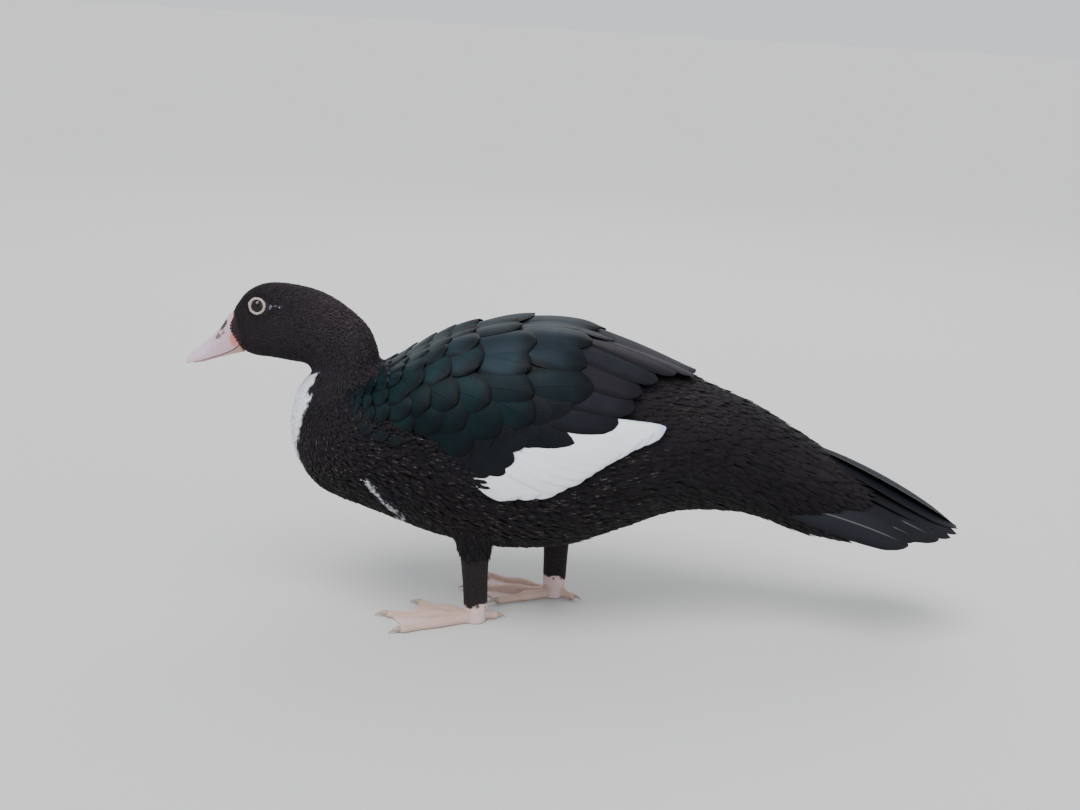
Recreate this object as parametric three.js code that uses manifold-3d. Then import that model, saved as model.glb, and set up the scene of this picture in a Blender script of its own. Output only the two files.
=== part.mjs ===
// A muscovy duck at life size, standing with one foot a step ahead of the other.
// Millimetres, +Z up. The bill points along -X, the left side faces -Y, and the soles rest at z = 0.
import * as THREE from "three";
import { mergeVertices } from "three/addons/utils/BufferGeometryUtils.js";
import Module from "manifold-3d";

const wasm = await Module();
wasm.setup();

const gap = 0.3;
const leftSide = -1;
const rightSide = 1;
const sides = [
  ["left", leftSide],
  ["right", rightSide],
];

// Stations of the body, bill to tail. Each is one flat ring: its point on the back and on the
// belly as [x, z], its half width, the share of its depth at which it is widest, and how full
// its corners are (2 is an ellipse).
const stations = [
  { name: "brow", back: [-263.5, 257], belly: [-253, 221], half: 12.5, level: 0.45, full: 2.1 },
  { name: "eye", back: [-252, 272.5], belly: [-243, 218.8], half: 19.5, level: 0.47, full: 2.3 },
  { name: "crown", back: [-235, 280.5], belly: [-229, 218], half: 23.5, level: 0.47, full: 2.3 },
  { name: "cheek", back: [-212, 280.3], belly: [-212.5, 215.8], half: 25, level: 0.46, full: 2.2 },
  { name: "occiput", back: [-190, 275], belly: [-201, 214], half: 25.5, level: 0.47, full: 2.1 },
  { name: "throat", back: [-168, 262.5], belly: [-196.8, 209], half: 25.5, level: 0.5, full: 2 },
  { name: "nape", back: [-150.5, 247], belly: [-198, 204.5], half: 26, level: 0.5, full: 2 },
  { name: "neck", back: [-142, 231.5], belly: [-204, 197], half: 28, level: 0.5, full: 2 },
  { name: "neck_root", back: [-139, 221], belly: [-210.3, 184], half: 33, level: 0.5, full: 2 },
  { name: "crop", back: [-133, 218.5], belly: [-213.5, 160], half: 42, level: 0.48, full: 2 },
  { name: "breast", back: [-122, 222.5], belly: [-206.5, 132.5], half: 55, level: 0.46, full: 2.1 },
  { name: "keel", back: [-107, 230], belly: [-184, 107], half: 67, level: 0.45, full: 2.1 },
  { name: "shoulder", back: [-85, 239], belly: [-139, 90.5], half: 75, level: 0.45, full: 2.1 },
  { name: "ribs", back: [-55, 248], belly: [-82, 71.5], half: 79, level: 0.45, full: 2.1 },
  { name: "back", back: [-15, 254.5], belly: [-28, 63], half: 80, level: 0.45, full: 2.1 },
  { name: "loin", back: [30, 252.5], belly: [28, 68], half: 78, level: 0.45, full: 2.1 },
  { name: "hip", back: [75, 240], belly: [76, 86], half: 71, level: 0.47, full: 2.1 },
  { name: "rump", back: [115, 226], belly: [118, 102], half: 61, level: 0.5, full: 2 },
  { name: "vent", back: [152, 212], belly: [156, 105.5], half: 51, level: 0.52, full: 2 },
  { name: "tail_root", back: [188, 197], belly: [192, 102], half: 43, level: 0.55, full: 2 },
  { name: "tail_mid", back: [232, 173], belly: [236, 87], half: 38, level: 0.6, full: 2 },
  { name: "tail_end", back: [278, 146], belly: [284, 80], half: 34, level: 0.62, full: 2 },
  { name: "tail_tip", back: [325, 121], belly: [328, 78], half: 26, level: 0.62, full: 2 },
  { name: "tail_point", back: [371, 102], belly: [369, 95], half: 9, level: 0.5, full: 2 },
];
const stationAt = Object.fromEntries(stations.map((station, i) => [station.name, i]));

// Where the body is parted, in stations, and half the parting in stations.
const headEnd = stationAt.throat + 0.4;
const neckEnd = stationAt.neck + 0.6;
const torsoEnd = stationAt.vent + 0.5;
const halfParting = 0.018;

// Eyes and lids.
const eye = { x: -239.5, y: 15.3, z: 264, radius: 7.2 };
const lid = { ring: 6.6, thick: 1.5, stand: 5.2, forward: 0.12, upward: 0.12 };

// Bill, as lines of [x, z] from its root to its tip.
const culmen = [
  [-264.3, 255.2], [-268.6, 250.6], [-274.5, 241.1], [-281, 233.5],
  [-291, 224.1], [-300, 216.3], [-304.4, 210.4],
];
const mouthLine = [
  [-256.4, 229.5], [-262, 224.8], [-271, 220.2], [-280, 216.8],
  [-289, 213.6], [-297.5, 211], [-303.2, 208.9],
];
const billHalf = [12.2, 12.4, 12, 11.6, 11.8, 10.8, 4.5];
const chinLine = [
  [-254, 220.6], [-260, 219.4], [-269, 216.8], [-278, 213.9],
  [-286, 211.2], [-293, 209.4], [-298, 209],
];
const jawTopLine = [
  [-256.6, 228], [-262, 223.4], [-271, 218.8], [-280, 215.4],
  [-288, 212.7], [-295, 210.6], [-299, 209.4],
];
const jawHalf = [11, 11, 10.4, 9.8, 9.4, 8, 3];
const lipDrop = 1;
const billFullness = 2.3;
const nostril = { x: -275.5, y: 9.3, z: 234.6, long: 3.4, high: 1.3, deep: 3, slant: -0.85 };

// Folded wing. Angles are in degrees down from the middle of the back. Its lower edge is
// [x, angle], its front and rear edges [angle, x], and its thickness over the body [angle, mm].
const wingLower = [
  [-160, 66], [-140, 73], [-116, 75], [-94, 79], [-73, 84], [-50, 93],
  [-28, 104], [5, 102], [43, 91], [77, 82], [104, 72],
];
const wingUpperAngle = 4;
const wingFront = [[4, -112], [20, -124], [34, -137], [62, -151], [75, -147]];
const wingRear = [[4, 116], [14, 124], [43, 98], [66, 106], [74, 102]];
const wingThick = [[0, 4], [12, 10], [24, 13.5], [45, 12], [70, 10], [90, 7.5], [108, 4]];
const wingEdgeThick = 1.6;
const wingClear = 0.8;
// How far in from each edge the wing reaches its full thickness, in mm or degrees, and the share
// of it that is left at the rear.
const wingSwell = { front: 45, rear: 90, lower: 14, left: 0.25 };
// The flesh under the feathers: how much lower and shorter it is than they are.
const wingCore = { drop: 3.6, least: 2, rear: 42, lower: 8 };

// Tiers of the folded wing, rear tiers first. A tier's feather tips run from one [x, angle] to
// another, each feather reaches forward `reach` mm and turns by `turn` degrees to its root, and
// its half width is in mm.
const wingTiers = [
  { name: "lesser_front", from: [-122, 65], to: [-88, 45], count: 3, reach: 24, turn: -3, half: 11 },
  { name: "lesser_middle", from: [-102, 71], to: [-58, 46], count: 3, reach: 30, turn: -3, half: 14 },
  { name: "lesser_rear", from: [-79, 78], to: [-30, 52], count: 4, reach: 34, turn: -3, half: 12.5 },
  { name: "median", from: [-59, 84], to: [-4, 63], count: 4, reach: 42, turn: -4, half: 13 },
  { name: "greater", from: [-42, 91], to: [26, 74], count: 5, reach: 50, turn: -5, half: 12 },
  { name: "scapular_front", from: [-72, 31], to: [-64, 16], count: 2, reach: 36, turn: -2, half: 15 },
  { name: "scapular_middle", from: [-42, 40], to: [-30, 15], count: 3, reach: 40, turn: -2, half: 14 },
  { name: "scapular_rear", from: [-14, 46], to: [6, 15], count: 3, reach: 46, turn: -3, half: 16 },
  { name: "scapular_last", from: [24, 47], to: [46, 16], count: 3, reach: 50, turn: -3, half: 16.5 },
];
// Single long feathers as their tip and root.
const secondaries = [
  { tip: [-12, 102], root: [-72, 88] },
  { tip: [20, 98], root: [-48, 88] },
  { tip: [50, 90], root: [-22, 88] },
  { tip: [78, 81.5], root: [0, 87] },
  { tip: [103, 71.5], root: [22, 83] },
];
const tertials = [
  { tip: [64, 63], root: [-8, 62] },
  { tip: [80, 50], root: [4, 48] },
  { tip: [102, 30], root: [22, 32] },
  { tip: [122, 16], root: [40, 17] },
];
const secondary = { half: 11, lift: -1.2, spacing: 13 };
const tertial = { half: 14.5, lift: -0.4, spacing: 18 };
const wingVane = { sink: 6.5, step: 1.1, floor: 1.4 };
// How much feathers of one tier differ: share of length, mm along the body, degrees round it.
const wingUneven = { seed: 71, reach: 0.05, along: 2, round: 1 };

// A vane: half its width at shares of its length, the rows of a long and a short one, and its
// thickness.
const vaneOutline = [[0, 0.55], [0.5, 1], [0.86, 0.86], [1, 0.36]];
const longRows = [0, 0.5, 0.86, 1];
const shortRows = [0, 0.72, 1];
const shortReach = 37;
const vaneThick = 0.75;
const vaneTipThick = 0.55;
const vaneTipRound = 0.035;
const bodyCurve = 75;

// Tail feathers of one side, from the middle one out: the line of their roots and of their tips.
const rectrix = { count: 6, half: 13, layer: 2.2, arch: 0.0107, lift: 4 };
const rectrixRoots = { x: 232, stepX: -2, y: 3, stepY: 2.4, z: 166.5, stepZ: -1 };
const rectrixTipX = [371, 367, 359, 348, 335, 321];
const rectrixTipY = [4, 13, 22, 31, 41, 50];
const tailFall = 0.503;
// Coverts over the root of the tail: rows by the x of their tips.
const tailCoverts = [
  { x: 224, from: 12, to: 72, count: 3, reach: 34, half: 14, rise: 1.6 },
  { x: 262, from: 12, to: 66, count: 3, reach: 46, half: 14, rise: 2 },
  { x: 290, from: 128, to: 168, count: 2, reach: 60, half: 14, rise: 1.5 },
];
const tailCovertSink = 4;
const tailCoreEnd = 21.6;
const tailCoreDrop = 9;

// Legs and feet. Each foot is set by the middle of its ankle.
const feet = {
  left: { x: -46, y: -35, hipX: -50, hipY: -41 },
  right: { x: 22, y: 32, hipX: 22, hipY: 41 },
};
const ankleHeight = 17;
const hipHeight = 86;
const shank = { depth: 10.5, width: 7, hipDepth: 15, hipWidth: 11 };
const ankleSole = 9;
const toes = [
  { name: "inner", turn: 27, reach: 58, half: 4.6 },
  { name: "middle", turn: -2, reach: 78, half: 5 },
  { name: "outer", turn: -29, reach: 72, half: 4.6 },
];
const toeHeight = 9.5;
const toeTipHeight = 5.5;
const toeInset = 4;
// How a toe swells at its two joints, and its width at the root and at the tip.
const toeShape = { joints: 2, swell: 0.14, root: 1.15, tip: 0.72, middle: 0.42 };
const hindToe = { turn: 158, reach: 21, half: 3.6, rise: 5 };
const claw = { long: 9, half: 2.3, droop: 2.6, taper: 0.85, clear: 0.6, least: 0.1, top: 0.4 };
const web = { low: 1.3, thick: 1.7, root: 7, reach: 0.93, scallop: 9 };

const degrees = Math.PI / 180;
const clamp = THREE.MathUtils.clamp;
const lerp = THREE.MathUtils.lerp;

// A smooth curve through stations, read by station number.
function throughStations(points) {
  const curve = new THREE.CatmullRomCurve3(points, false, "catmullrom", 0.5);
  return (t) => curve.getPoint(clamp(t / (points.length - 1), 0, 1));
}

const backAt = throughStations(stations.map((s) => new THREE.Vector3(s.back[0], 0, s.back[1])));
const bellyAt = throughStations(stations.map((s) => new THREE.Vector3(s.belly[0], 0, s.belly[1])));
const girthAt = throughStations(stations.map((s) => new THREE.Vector3(s.half, s.level, s.full)));

// Sine or cosine of a ring whose corners are filled out.
function filled(value, full) {
  return Math.sign(value) * Math.abs(value) ** (2 / full);
}

// A point of the body: t in stations, angle from the middle of the back down the side that
// `side` names, `out` mm proud of the skin, and `share` of the way out from the ring's middle.
function bodyPoint(t, angle, side, out = 0, share = 1) {
  const back = backAt(t);
  const belly = bellyAt(t);
  const { x: half, y: level, z: full } = girthAt(t);
  const depth = back.distanceTo(belly);
  const rise = back.clone().sub(belly).divideScalar(depth);
  const middle = belly.clone().addScaledVector(rise, depth * level);
  const reach = Math.cos(angle) > 0 ? depth * (1 - level) : depth * level;
  middle.addScaledVector(rise, (reach + out) * filled(Math.cos(angle), full) * share);
  middle.y = side * (half + out) * filled(Math.sin(angle), full) * share;
  return middle;
}

// The station whose ring passes x at the given angle.
function stationAtX(x, angle, side) {
  let low = neckEnd + 0.15;
  let high = stations.length - 1;
  for (let i = 0; i < 24; i++) {
    const t = (low + high) / 2;
    if (bodyPoint(t, angle, side).x < x) low = t;
    else high = t;
  }
  return low;
}

// A point over the body by its x and its angle in degrees.
function overBody(x, angle, side, out) {
  return bodyPoint(stationAtX(x, angle * degrees, side), angle * degrees, side, out);
}

// A value read off a list of [place, value] pairs.
function along(pairs, place) {
  const next = clamp(pairs.findIndex((pair) => pair[0] >= place), 1, pairs.length - 1);
  const index = place > pairs[pairs.length - 1][0] ? pairs.length - 1 : next;
  const [a, b] = [pairs[index - 1], pairs[index]];
  return lerp(a[1], b[1], clamp((place - a[0]) / (b[0] - a[0]), 0, 1));
}

// A point of a line of [x, z] points, by its share from the first to the last.
function onLine(line, share) {
  const curve = new THREE.CatmullRomCurve3(line.map(([x, z]) => new THREE.Vector3(x, 0, z)));
  return curve.getPoint(share);
}

// A number of a list, by its share from the first to the last.
function onList(list, share) {
  return along(list.map((value, i) => [i / (list.length - 1), value]), share);
}

// A closed geometry as a solid with its faces pointing out.
function solidOf(geometry) {
  geometry.deleteAttribute("normal");
  geometry.deleteAttribute("uv");
  const merged = mergeVertices(geometry, 1e-4);
  const vertProperties = merged.attributes.position.array;
  const triVerts = new Uint32Array(merged.index.array);
  const made = new wasm.Manifold(new wasm.Mesh({ numProp: 3, vertProperties, triVerts }));
  if (made.volume() > 0) return made;
  for (let i = 0; i < triVerts.length; i += 3) {
    [triVerts[i + 1], triVerts[i + 2]] = [triVerts[i + 2], triVerts[i + 1]];
  }
  return new wasm.Manifold(new wasm.Mesh({ numProp: 3, vertProperties, triVerts }));
}

// A closed tube: place(share along it, angle round it, share out from its middle) gives each point.
function tube(round, steps, place) {
  const geometry = new THREE.CylinderGeometry(1, 1, 1, round, steps);
  const position = geometry.attributes.position;
  for (let i = 0; i < position.count; i++) {
    const [x, y, z] = [position.getX(i), position.getY(i), position.getZ(i)];
    const share = Math.hypot(x, z) < 0.5 ? 0 : 1;
    const point = place(clamp(0.5 - y, 0, 1), Math.atan2(x, z), share);
    position.setXYZ(i, point.x, point.y, point.z);
  }
  return solidOf(geometry);
}

// A closed plate split alike on both faces: place(across, along, face) gives each point, with
// face 0 below and 1 above.
function plate(columns, rows, place) {
  const flat = new THREE.PlaneGeometry(1, 1, columns, rows);
  const count = flat.attributes.position.count;
  const points = [];
  for (const face of [0, 1]) {
    for (let i = 0; i < count; i++) {
      const across = flat.attributes.position.getX(i) + 0.5;
      const lengthwise = 0.5 - flat.attributes.position.getY(i);
      points.push(...place(across, lengthwise, face).toArray());
    }
  }
  const upper = Array.from(flat.index.array, (i) => i + count);
  const lower = [];
  for (let i = 0; i < flat.index.count; i += 3) {
    lower.push(flat.index.getX(i), flat.index.getX(i + 2), flat.index.getX(i + 1));
  }
  const rim = [];
  for (let c = 0; c < columns; c++) rim.push(c);
  for (let r = 0; r < rows; r++) rim.push(r * (columns + 1) + columns);
  for (let c = columns; c > 0; c--) rim.push(rows * (columns + 1) + c);
  for (let r = rows; r > 0; r--) rim.push(r * (columns + 1));
  const edge = [];
  rim.forEach((a, i) => {
    const b = rim[(i + 1) % rim.length];
    edge.push(a, b + count, b, a, a + count, b + count);
  });
  const geometry = new THREE.BufferGeometry();
  geometry.setAttribute("position", new THREE.Float32BufferAttribute(points, 3));
  geometry.setIndex([...upper, ...lower, ...edge]);
  return solidOf(geometry);
}

// An ellipsoid turned by `turn`.
function ellipsoid(centre, radii, turn = new THREE.Euler(), round = 16) {
  const geometry = new THREE.SphereGeometry(1, round, round / 2);
  geometry.scale(...radii);
  geometry.applyMatrix4(new THREE.Matrix4().makeRotationFromEuler(turn));
  geometry.translate(...centre);
  return solidOf(geometry);
}

// The largest closed surface of a solid.
function largest(solid) {
  const pieces = solid.decompose();
  return pieces.reduce((best, piece) => (piece.volume() > best.volume() ? piece : best));
}

// A solid as a named mesh with its own material.
function meshOf(name, solid, colour, roughness) {
  const { vertProperties, triVerts } = largest(solid).getMesh();
  const geometry = new THREE.BufferGeometry();
  geometry.setAttribute("position", new THREE.Float32BufferAttribute(vertProperties, 3));
  geometry.setIndex(new THREE.Uint32BufferAttribute(triVerts, 1));
  geometry.computeVertexNormals();
  const material = new THREE.MeshStandardMaterial({ color: colour, roughness, metalness: 0 });
  const mesh = new THREE.Mesh(geometry, material);
  mesh.name = name;
  return mesh;
}

// A length of the body between two stations.
function bodyLength(from, to, round, steps, out = 0) {
  return tube(round, steps, (share, angle, reach) => {
    return bodyPoint(lerp(from, to, share), angle, rightSide, out, reach);
  });
}

function makeNeck(out = 0) {
  return bodyLength(headEnd + halfParting, neckEnd - halfParting, 24, 5, out);
}

function makeTorso(out = 0) {
  return bodyLength(neckEnd + halfParting, torsoEnd - halfParting, 28, 20, out);
}

function makeHead() {
  let head = bodyLength(0, headEnd - halfParting, 24, 10);
  for (const [, side] of sides) {
    const ring = new THREE.TorusGeometry(lid.ring, lid.thick, 6, 16);
    ring.rotateX(-side * Math.PI / 2);
    ring.translate(0, side * lid.stand, 0);
    ring.rotateX(side * lid.upward);
    ring.rotateZ(side * lid.forward);
    ring.translate(eye.x, side * eye.y, eye.z);
    head = head.add(solidOf(ring));
    const socket = eye.radius + gap;
    head = head.subtract(ellipsoid([eye.x, side * eye.y, eye.z], [socket, socket, socket]));
  }
  return head;
}

function makeEye(side) {
  const radii = [eye.radius, eye.radius, eye.radius];
  return ellipsoid([eye.x, side * eye.y, eye.z], radii);
}

// One half of the bill between an upper and a lower line, rounded away from the mouth.
function makeMandible(upperLine, lowerLine, halves, above, below) {
  return tube(18, 10, (share, angle, reach) => {
    const upper = onLine(upperLine, share);
    const lower = onLine(lowerLine, share);
    const middle = above ? lower : upper;
    const crown = above ? upper : lower;
    const point = middle.clone();
    const height = Math.cos(angle);
    if (height > 0) point.lerp(crown, height * reach);
    else point.z += (above ? -1 : 1) * below * -height * reach;
    point.y = onList(halves, share) * filled(Math.sin(angle), billFullness) * reach;
    return point;
  });
}

function makeUpperBill() {
  let bill = makeMandible(culmen, mouthLine, billHalf, true, lipDrop);
  for (const [, side] of sides) {
    const turn = new THREE.Euler(0, nostril.slant, 0);
    const centre = [nostril.x, side * nostril.y, nostril.z];
    bill = bill.subtract(ellipsoid(centre, [nostril.long, nostril.deep, nostril.high], turn, 8));
  }
  return bill;
}

function makeLowerBill() {
  return makeMandible(jawTopLine, chinLine, jawHalf, false, 0);
}

// How thick the folded wing is over the body at a place on it.
function wingDepth(x, angle) {
  const lowest = along(wingLower, x);
  const fromFront = clamp((x - along(wingFront, angle)) / wingSwell.front, 0, 1);
  const fromRear = clamp((along(wingRear, angle) - x) / wingSwell.rear, 0, 1);
  const fromEdge = clamp((lowest - angle) / wingSwell.lower, 0, 1);
  const swell = Math.sqrt(fromFront * fromEdge) * lerp(wingSwell.left, 1, fromRear);
  return wingEdgeThick + (along(wingThick, angle) - wingEdgeThick) * swell;
}

// A seeded draw from -1 to 1, so that every build is alike.
function drawer(seed) {
  let state = seed;
  return () => {
    state = (state * 16807) % 2147483647;
    return (state / 2147483647) * 2 - 1;
  };
}

// A feather's vane along a spine: spine(v) gives its point, sideways and normal from root to tip.
function makeVane(spine, half, rows, roll = 0) {
  const lastRow = rows.length - 1;
  return plate(2, lastRow, (across, lengthwise, face) => {
    const v = rows[Math.round(lengthwise * lastRow)];
    const u = across * 2 - 1;
    const { point, sideways, normal } = spine(v === 1 ? v - Math.abs(u) * vaneTipRound : v);
    const width = half * along(vaneOutline, v);
    const thick = lerp(vaneThick, vaneTipThick, v);
    const lift = (face - 0.5) * thick + roll * u - (u * width) ** 2 / (2 * bodyCurve);
    return point.addScaledVector(sideways, u * width).addScaledVector(normal, lift);
  });
}

// The spine of a feather that lies over the body from a root to a tip, both [x, angle].
function spineOverBody(side, root, tip, outAt) {
  const place = (v) => {
    const x = lerp(root[0], tip[0], v);
    const angle = lerp(root[1], tip[1], v);
    return overBody(x, angle, side, outAt(x, angle, v));
  };
  return (v) => {
    const point = place(v);
    const x = lerp(root[0], tip[0], v);
    const angle = lerp(root[1], tip[1], v);
    const normal = overBody(x, angle, side, outAt(x, angle, v) + 1).sub(point).normalize();
    const forward = place(v + 0.02).sub(place(v - 0.02)).normalize();
    const sideways = normal.clone().cross(forward).multiplyScalar(side);
    return { point, sideways, normal };
  };
}

function makeWingVane(side, root, tip, half, spacing, lift = 0) {
  const outAt = (x, angle, v) => {
    const height = wingDepth(x, angle) + lift - wingVane.sink * (1 - v);
    return wingClear + Math.max(wingVane.floor, height);
  };
  const rows = tip[0] - root[0] > shortReach ? longRows : shortRows;
  const roll = (wingVane.step * half) / spacing;
  return makeVane(spineOverBody(side, root, tip, outAt), half, rows, roll);
}

// The flesh of the folded wing, under its feathers.
function makeWingCore(side) {
  const [front, rear] = [wingLower[0][0], wingLower[wingLower.length - 1][0] - wingCore.rear];
  return plate(9, 9, (across, lengthwise, face) => {
    const lowest = along(wingLower, lerp(front, rear, lengthwise)) - wingCore.lower;
    const angle = lerp(wingUpperAngle, lowest, across);
    const x = lerp(along(wingFront, angle), along(wingRear, angle) - wingCore.rear, lengthwise);
    const depth = Math.max(wingDepth(x, angle) - wingCore.drop, wingCore.least);
    return overBody(x, angle, side, face ? wingClear + depth : wingClear);
  });
}

function makeWing(side) {
  const draw = drawer(wingUneven.seed);
  const pieces = [makeWingCore(side)];
  for (const tier of wingTiers) {
    const first = overBody(...tier.from, side, 0);
    const spacing = first.distanceTo(overBody(...tier.to, side, 0)) / (tier.count - 1);
    for (let i = 0; i < tier.count; i++) {
      const share = i / (tier.count - 1);
      const reach = tier.reach * (1 + wingUneven.reach * draw());
      const x = lerp(tier.from[0], tier.to[0], share) + wingUneven.along * draw();
      const angle = lerp(tier.from[1], tier.to[1], share) + wingUneven.round * draw();
      const root = [x - reach, angle + tier.turn];
      pieces.push(makeWingVane(side, root, [x, angle], tier.half, spacing));
    }
  }
  for (const { tip, root } of secondaries) {
    pieces.push(makeWingVane(side, root, tip, secondary.half, secondary.spacing, secondary.lift));
  }
  for (const { tip, root } of tertials) {
    pieces.push(makeWingVane(side, root, tip, tertial.half, tertial.spacing, tertial.lift));
  }
  return wasm.Manifold.union(pieces);
}

// A tail feather: a straight spine that leans out with the arch of the tail.
function makeRectrix(side, i) {
  const tipX = rectrixTipX[i];
  const tipY = rectrixTipY[i];
  const roots = rectrixRoots;
  const root = new THREE.Vector3(
    roots.x + roots.stepX * i,
    side * (roots.y + roots.stepY * i),
    roots.z + (roots.stepZ - rectrix.layer) * i,
  );
  const fall = tailFall * (tipX - roots.x) + rectrix.arch * tipY ** 2 + rectrix.layer * i;
  const tip = new THREE.Vector3(tipX, side * tipY, roots.z + rectrix.lift - fall);
  const lean = Math.atan(2 * rectrix.arch * tipY);
  const forward = tip.clone().sub(root).normalize();
  const sideways = new THREE.Vector3(0, side * Math.cos(lean), -Math.sin(lean));
  sideways.addScaledVector(forward, -sideways.dot(forward)).normalize();
  const normal = forward.clone().cross(sideways).multiplyScalar(-side);
  if (normal.z < 0) normal.negate();
  const spine = (v) => ({ point: root.clone().lerp(tip, v), sideways, normal });
  return makeVane(spine, rectrix.half, longRows);
}

function makeTail() {
  const core = tube(24, 7, (share, angle, reach) => {
    const t = lerp(torsoEnd + halfParting, tailCoreEnd, share);
    return bodyPoint(t, angle, rightSide, -tailCoreDrop * share * share, reach);
  });
  const pieces = [core];
  for (const [, side] of sides) {
    for (let i = 0; i < rectrix.count; i++) pieces.push(makeRectrix(side, i));
    for (const row of tailCoverts) {
      for (let i = 0; i < row.count; i++) {
        const angle = lerp(row.from, row.to, i / (row.count - 1));
        const outAt = (x, down, v) => lerp(-tailCovertSink, row.rise, v);
        const spine = spineOverBody(side, [row.x - row.reach, angle], [row.x, angle], outAt);
        pieces.push(makeVane(spine, row.half, shortRows));
      }
    }
  }
  return wasm.Manifold.union(pieces);
}

function makeLeg(foot) {
  return tube(12, 5, (share, angle, reach) => {
    const up = 1 - share;
    const depth = lerp(shank.depth, shank.hipDepth, up * up);
    const width = lerp(shank.width, shank.hipWidth, up * up);
    const x = lerp(foot.x, foot.hipX, up) + depth * Math.cos(angle) * reach;
    const y = lerp(foot.y, foot.hipY, up) + width * Math.sin(angle) * reach;
    return new THREE.Vector3(x, y, lerp(ankleHeight + gap, hipHeight, up));
  });
}

// The point at `reach` mm out from the ankle along a toe's heading.
function outFrom(foot, side, turn, reach) {
  const heading = turn * degrees;
  return new THREE.Vector3(
    foot.x - Math.cos(heading) * reach,
    foot.y - side * Math.sin(heading) * reach,
    0,
  );
}

// A toe: a tapering tube with a flat sole and a swelling at each joint.
function makeToe(foot, side, toe, rise = 0) {
  const heading = toe.turn * degrees;
  const across = new THREE.Vector3(Math.sin(heading), -side * Math.cos(heading), 0);
  return tube(6, 5, (share, angle, reach) => {
    const knuckle = 1 + toeShape.swell * Math.cos(share * toeShape.joints * 2 * Math.PI);
    const half = toe.half * lerp(toeShape.root, toeShape.tip, share) * knuckle;
    const height = lerp(toeHeight, toeTipHeight, share) * knuckle;
    const point = outFrom(foot, side, toe.turn, lerp(-toeInset, toe.reach, share));
    point.addScaledVector(across, half * Math.sin(angle) * reach);
    const round = lerp(toeShape.middle, 1, Math.cos(angle) * reach);
    point.z = Math.max(0, rise * (1 - share) + height * round);
    return point;
  });
}

// The skin between two toes, with its front edge drawn in.
function makeWeb(foot, side, toeA, toeB) {
  return plate(4, 4, (across, lengthwise, face) => {
    const tipA = outFrom(foot, side, toeA.turn, toeA.reach * web.reach);
    const tipB = outFrom(foot, side, toeB.turn, toeB.reach * web.reach);
    const root = outFrom(foot, side, lerp(toeA.turn, toeB.turn, across), web.root);
    const front = tipA.lerp(tipB, across);
    const inward = web.scallop * Math.sin(across * Math.PI);
    front.lerp(root, inward / front.distanceTo(root));
    const point = root.lerp(front, lengthwise);
    point.z = web.low + face * web.thick;
    return point;
  });
}

function makeFoot(foot, side) {
  const ankle = tube(12, 2, (share, angle, reach) => {
    const up = 1 - share;
    const depth = lerp(ankleSole, shank.depth, up);
    const width = lerp(ankleSole, shank.width, up);
    const x = foot.x + depth * Math.cos(angle) * reach;
    const y = foot.y + width * Math.sin(angle) * reach;
    return new THREE.Vector3(x, y, lerp(0, ankleHeight, up));
  });
  let made = ankle;
  for (const toe of toes) made = made.add(makeToe(foot, side, toe));
  made = made.add(makeWeb(foot, side, toes[0], toes[1]));
  made = made.add(makeWeb(foot, side, toes[1], toes[2]));
  return made.add(makeToe(foot, side, hindToe, hindToe.rise));
}

// A curved claw ahead of a toe's end.
function makeClaw(foot, side, toe) {
  const heading = toe.turn * degrees;
  const across = new THREE.Vector3(Math.sin(heading), -side * Math.cos(heading), 0);
  return tube(6, 4, (share, angle, reach) => {
    const point = outFrom(foot, side, toe.turn, toe.reach + gap + claw.long * share);
    const half = claw.half * (1 - claw.taper * share);
    const middle = claw.clear + claw.half + claw.droop * (claw.top - share * share);
    point.addScaledVector(across, half * Math.sin(angle) * reach);
    point.z = Math.max(claw.least, middle + half * Math.cos(angle) * reach);
    return point;
  });
}

const duck = new THREE.Group();
const black = 0x17151a;
const wingGreen = 0x16262a;
const eyeBrown = 0x241a15;
const horn = 0xcdaeb4;
const legBrown = 0x2b2526;
const footPink = 0xc9a59b;
const clawHorn = 0x8f7a72;
duck.add(meshOf("head", makeHead(), black, 0.8));
duck.add(meshOf("bill_upper", makeUpperBill(), horn, 0.45));
duck.add(meshOf("bill_lower", makeLowerBill(), horn, 0.45));
duck.add(meshOf("neck", makeNeck(), black, 0.8));
duck.add(meshOf("torso", makeTorso(), black, 0.8));
duck.add(meshOf("tail", makeTail(), black, 0.7));
const neckGrown = makeNeck(gap);
const torsoGrown = makeTorso(gap);
for (const [name, side] of sides) {
  const foot = feet[name];
  const wing = makeWing(side).subtract(torsoGrown).subtract(neckGrown);
  duck.add(meshOf("eye_" + name, makeEye(side), eyeBrown, 0.1));
  duck.add(meshOf("wing_" + name, wing, wingGreen, 0.55));
  duck.add(meshOf("leg_" + name, makeLeg(foot).subtract(torsoGrown), legBrown, 0.7));
  duck.add(meshOf("foot_" + name, makeFoot(foot, side), footPink, 0.6));
  for (const toe of toes) {
    duck.add(meshOf("claw_" + name + "_" + toe.name, makeClaw(foot, side, toe), clawHorn, 0.4));
  }
}

// The origin is under the middle of the whole bird.
const whole = new THREE.Box3().setFromObject(duck);
duck.position.set(-(whole.min.x + whole.max.x) / 2, -(whole.min.y + whole.max.y) / 2, -whole.min.z);

export default duck;
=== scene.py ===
"""The looks of a life-size muscovy duck that stands with one foot a step ahead of the other.

Sizes are in metres. Every form is worked out in the maker's frame, whose origin is on the floor
under the breast, and is moved once by `SHIFT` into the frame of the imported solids. The bill points
along -X and the left side faces -Y. A place on a form is read by two parameters, `t` and `angle`. On
the body they are the station and the angle from the middle of the back, negative on the left side.
"""

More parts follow.
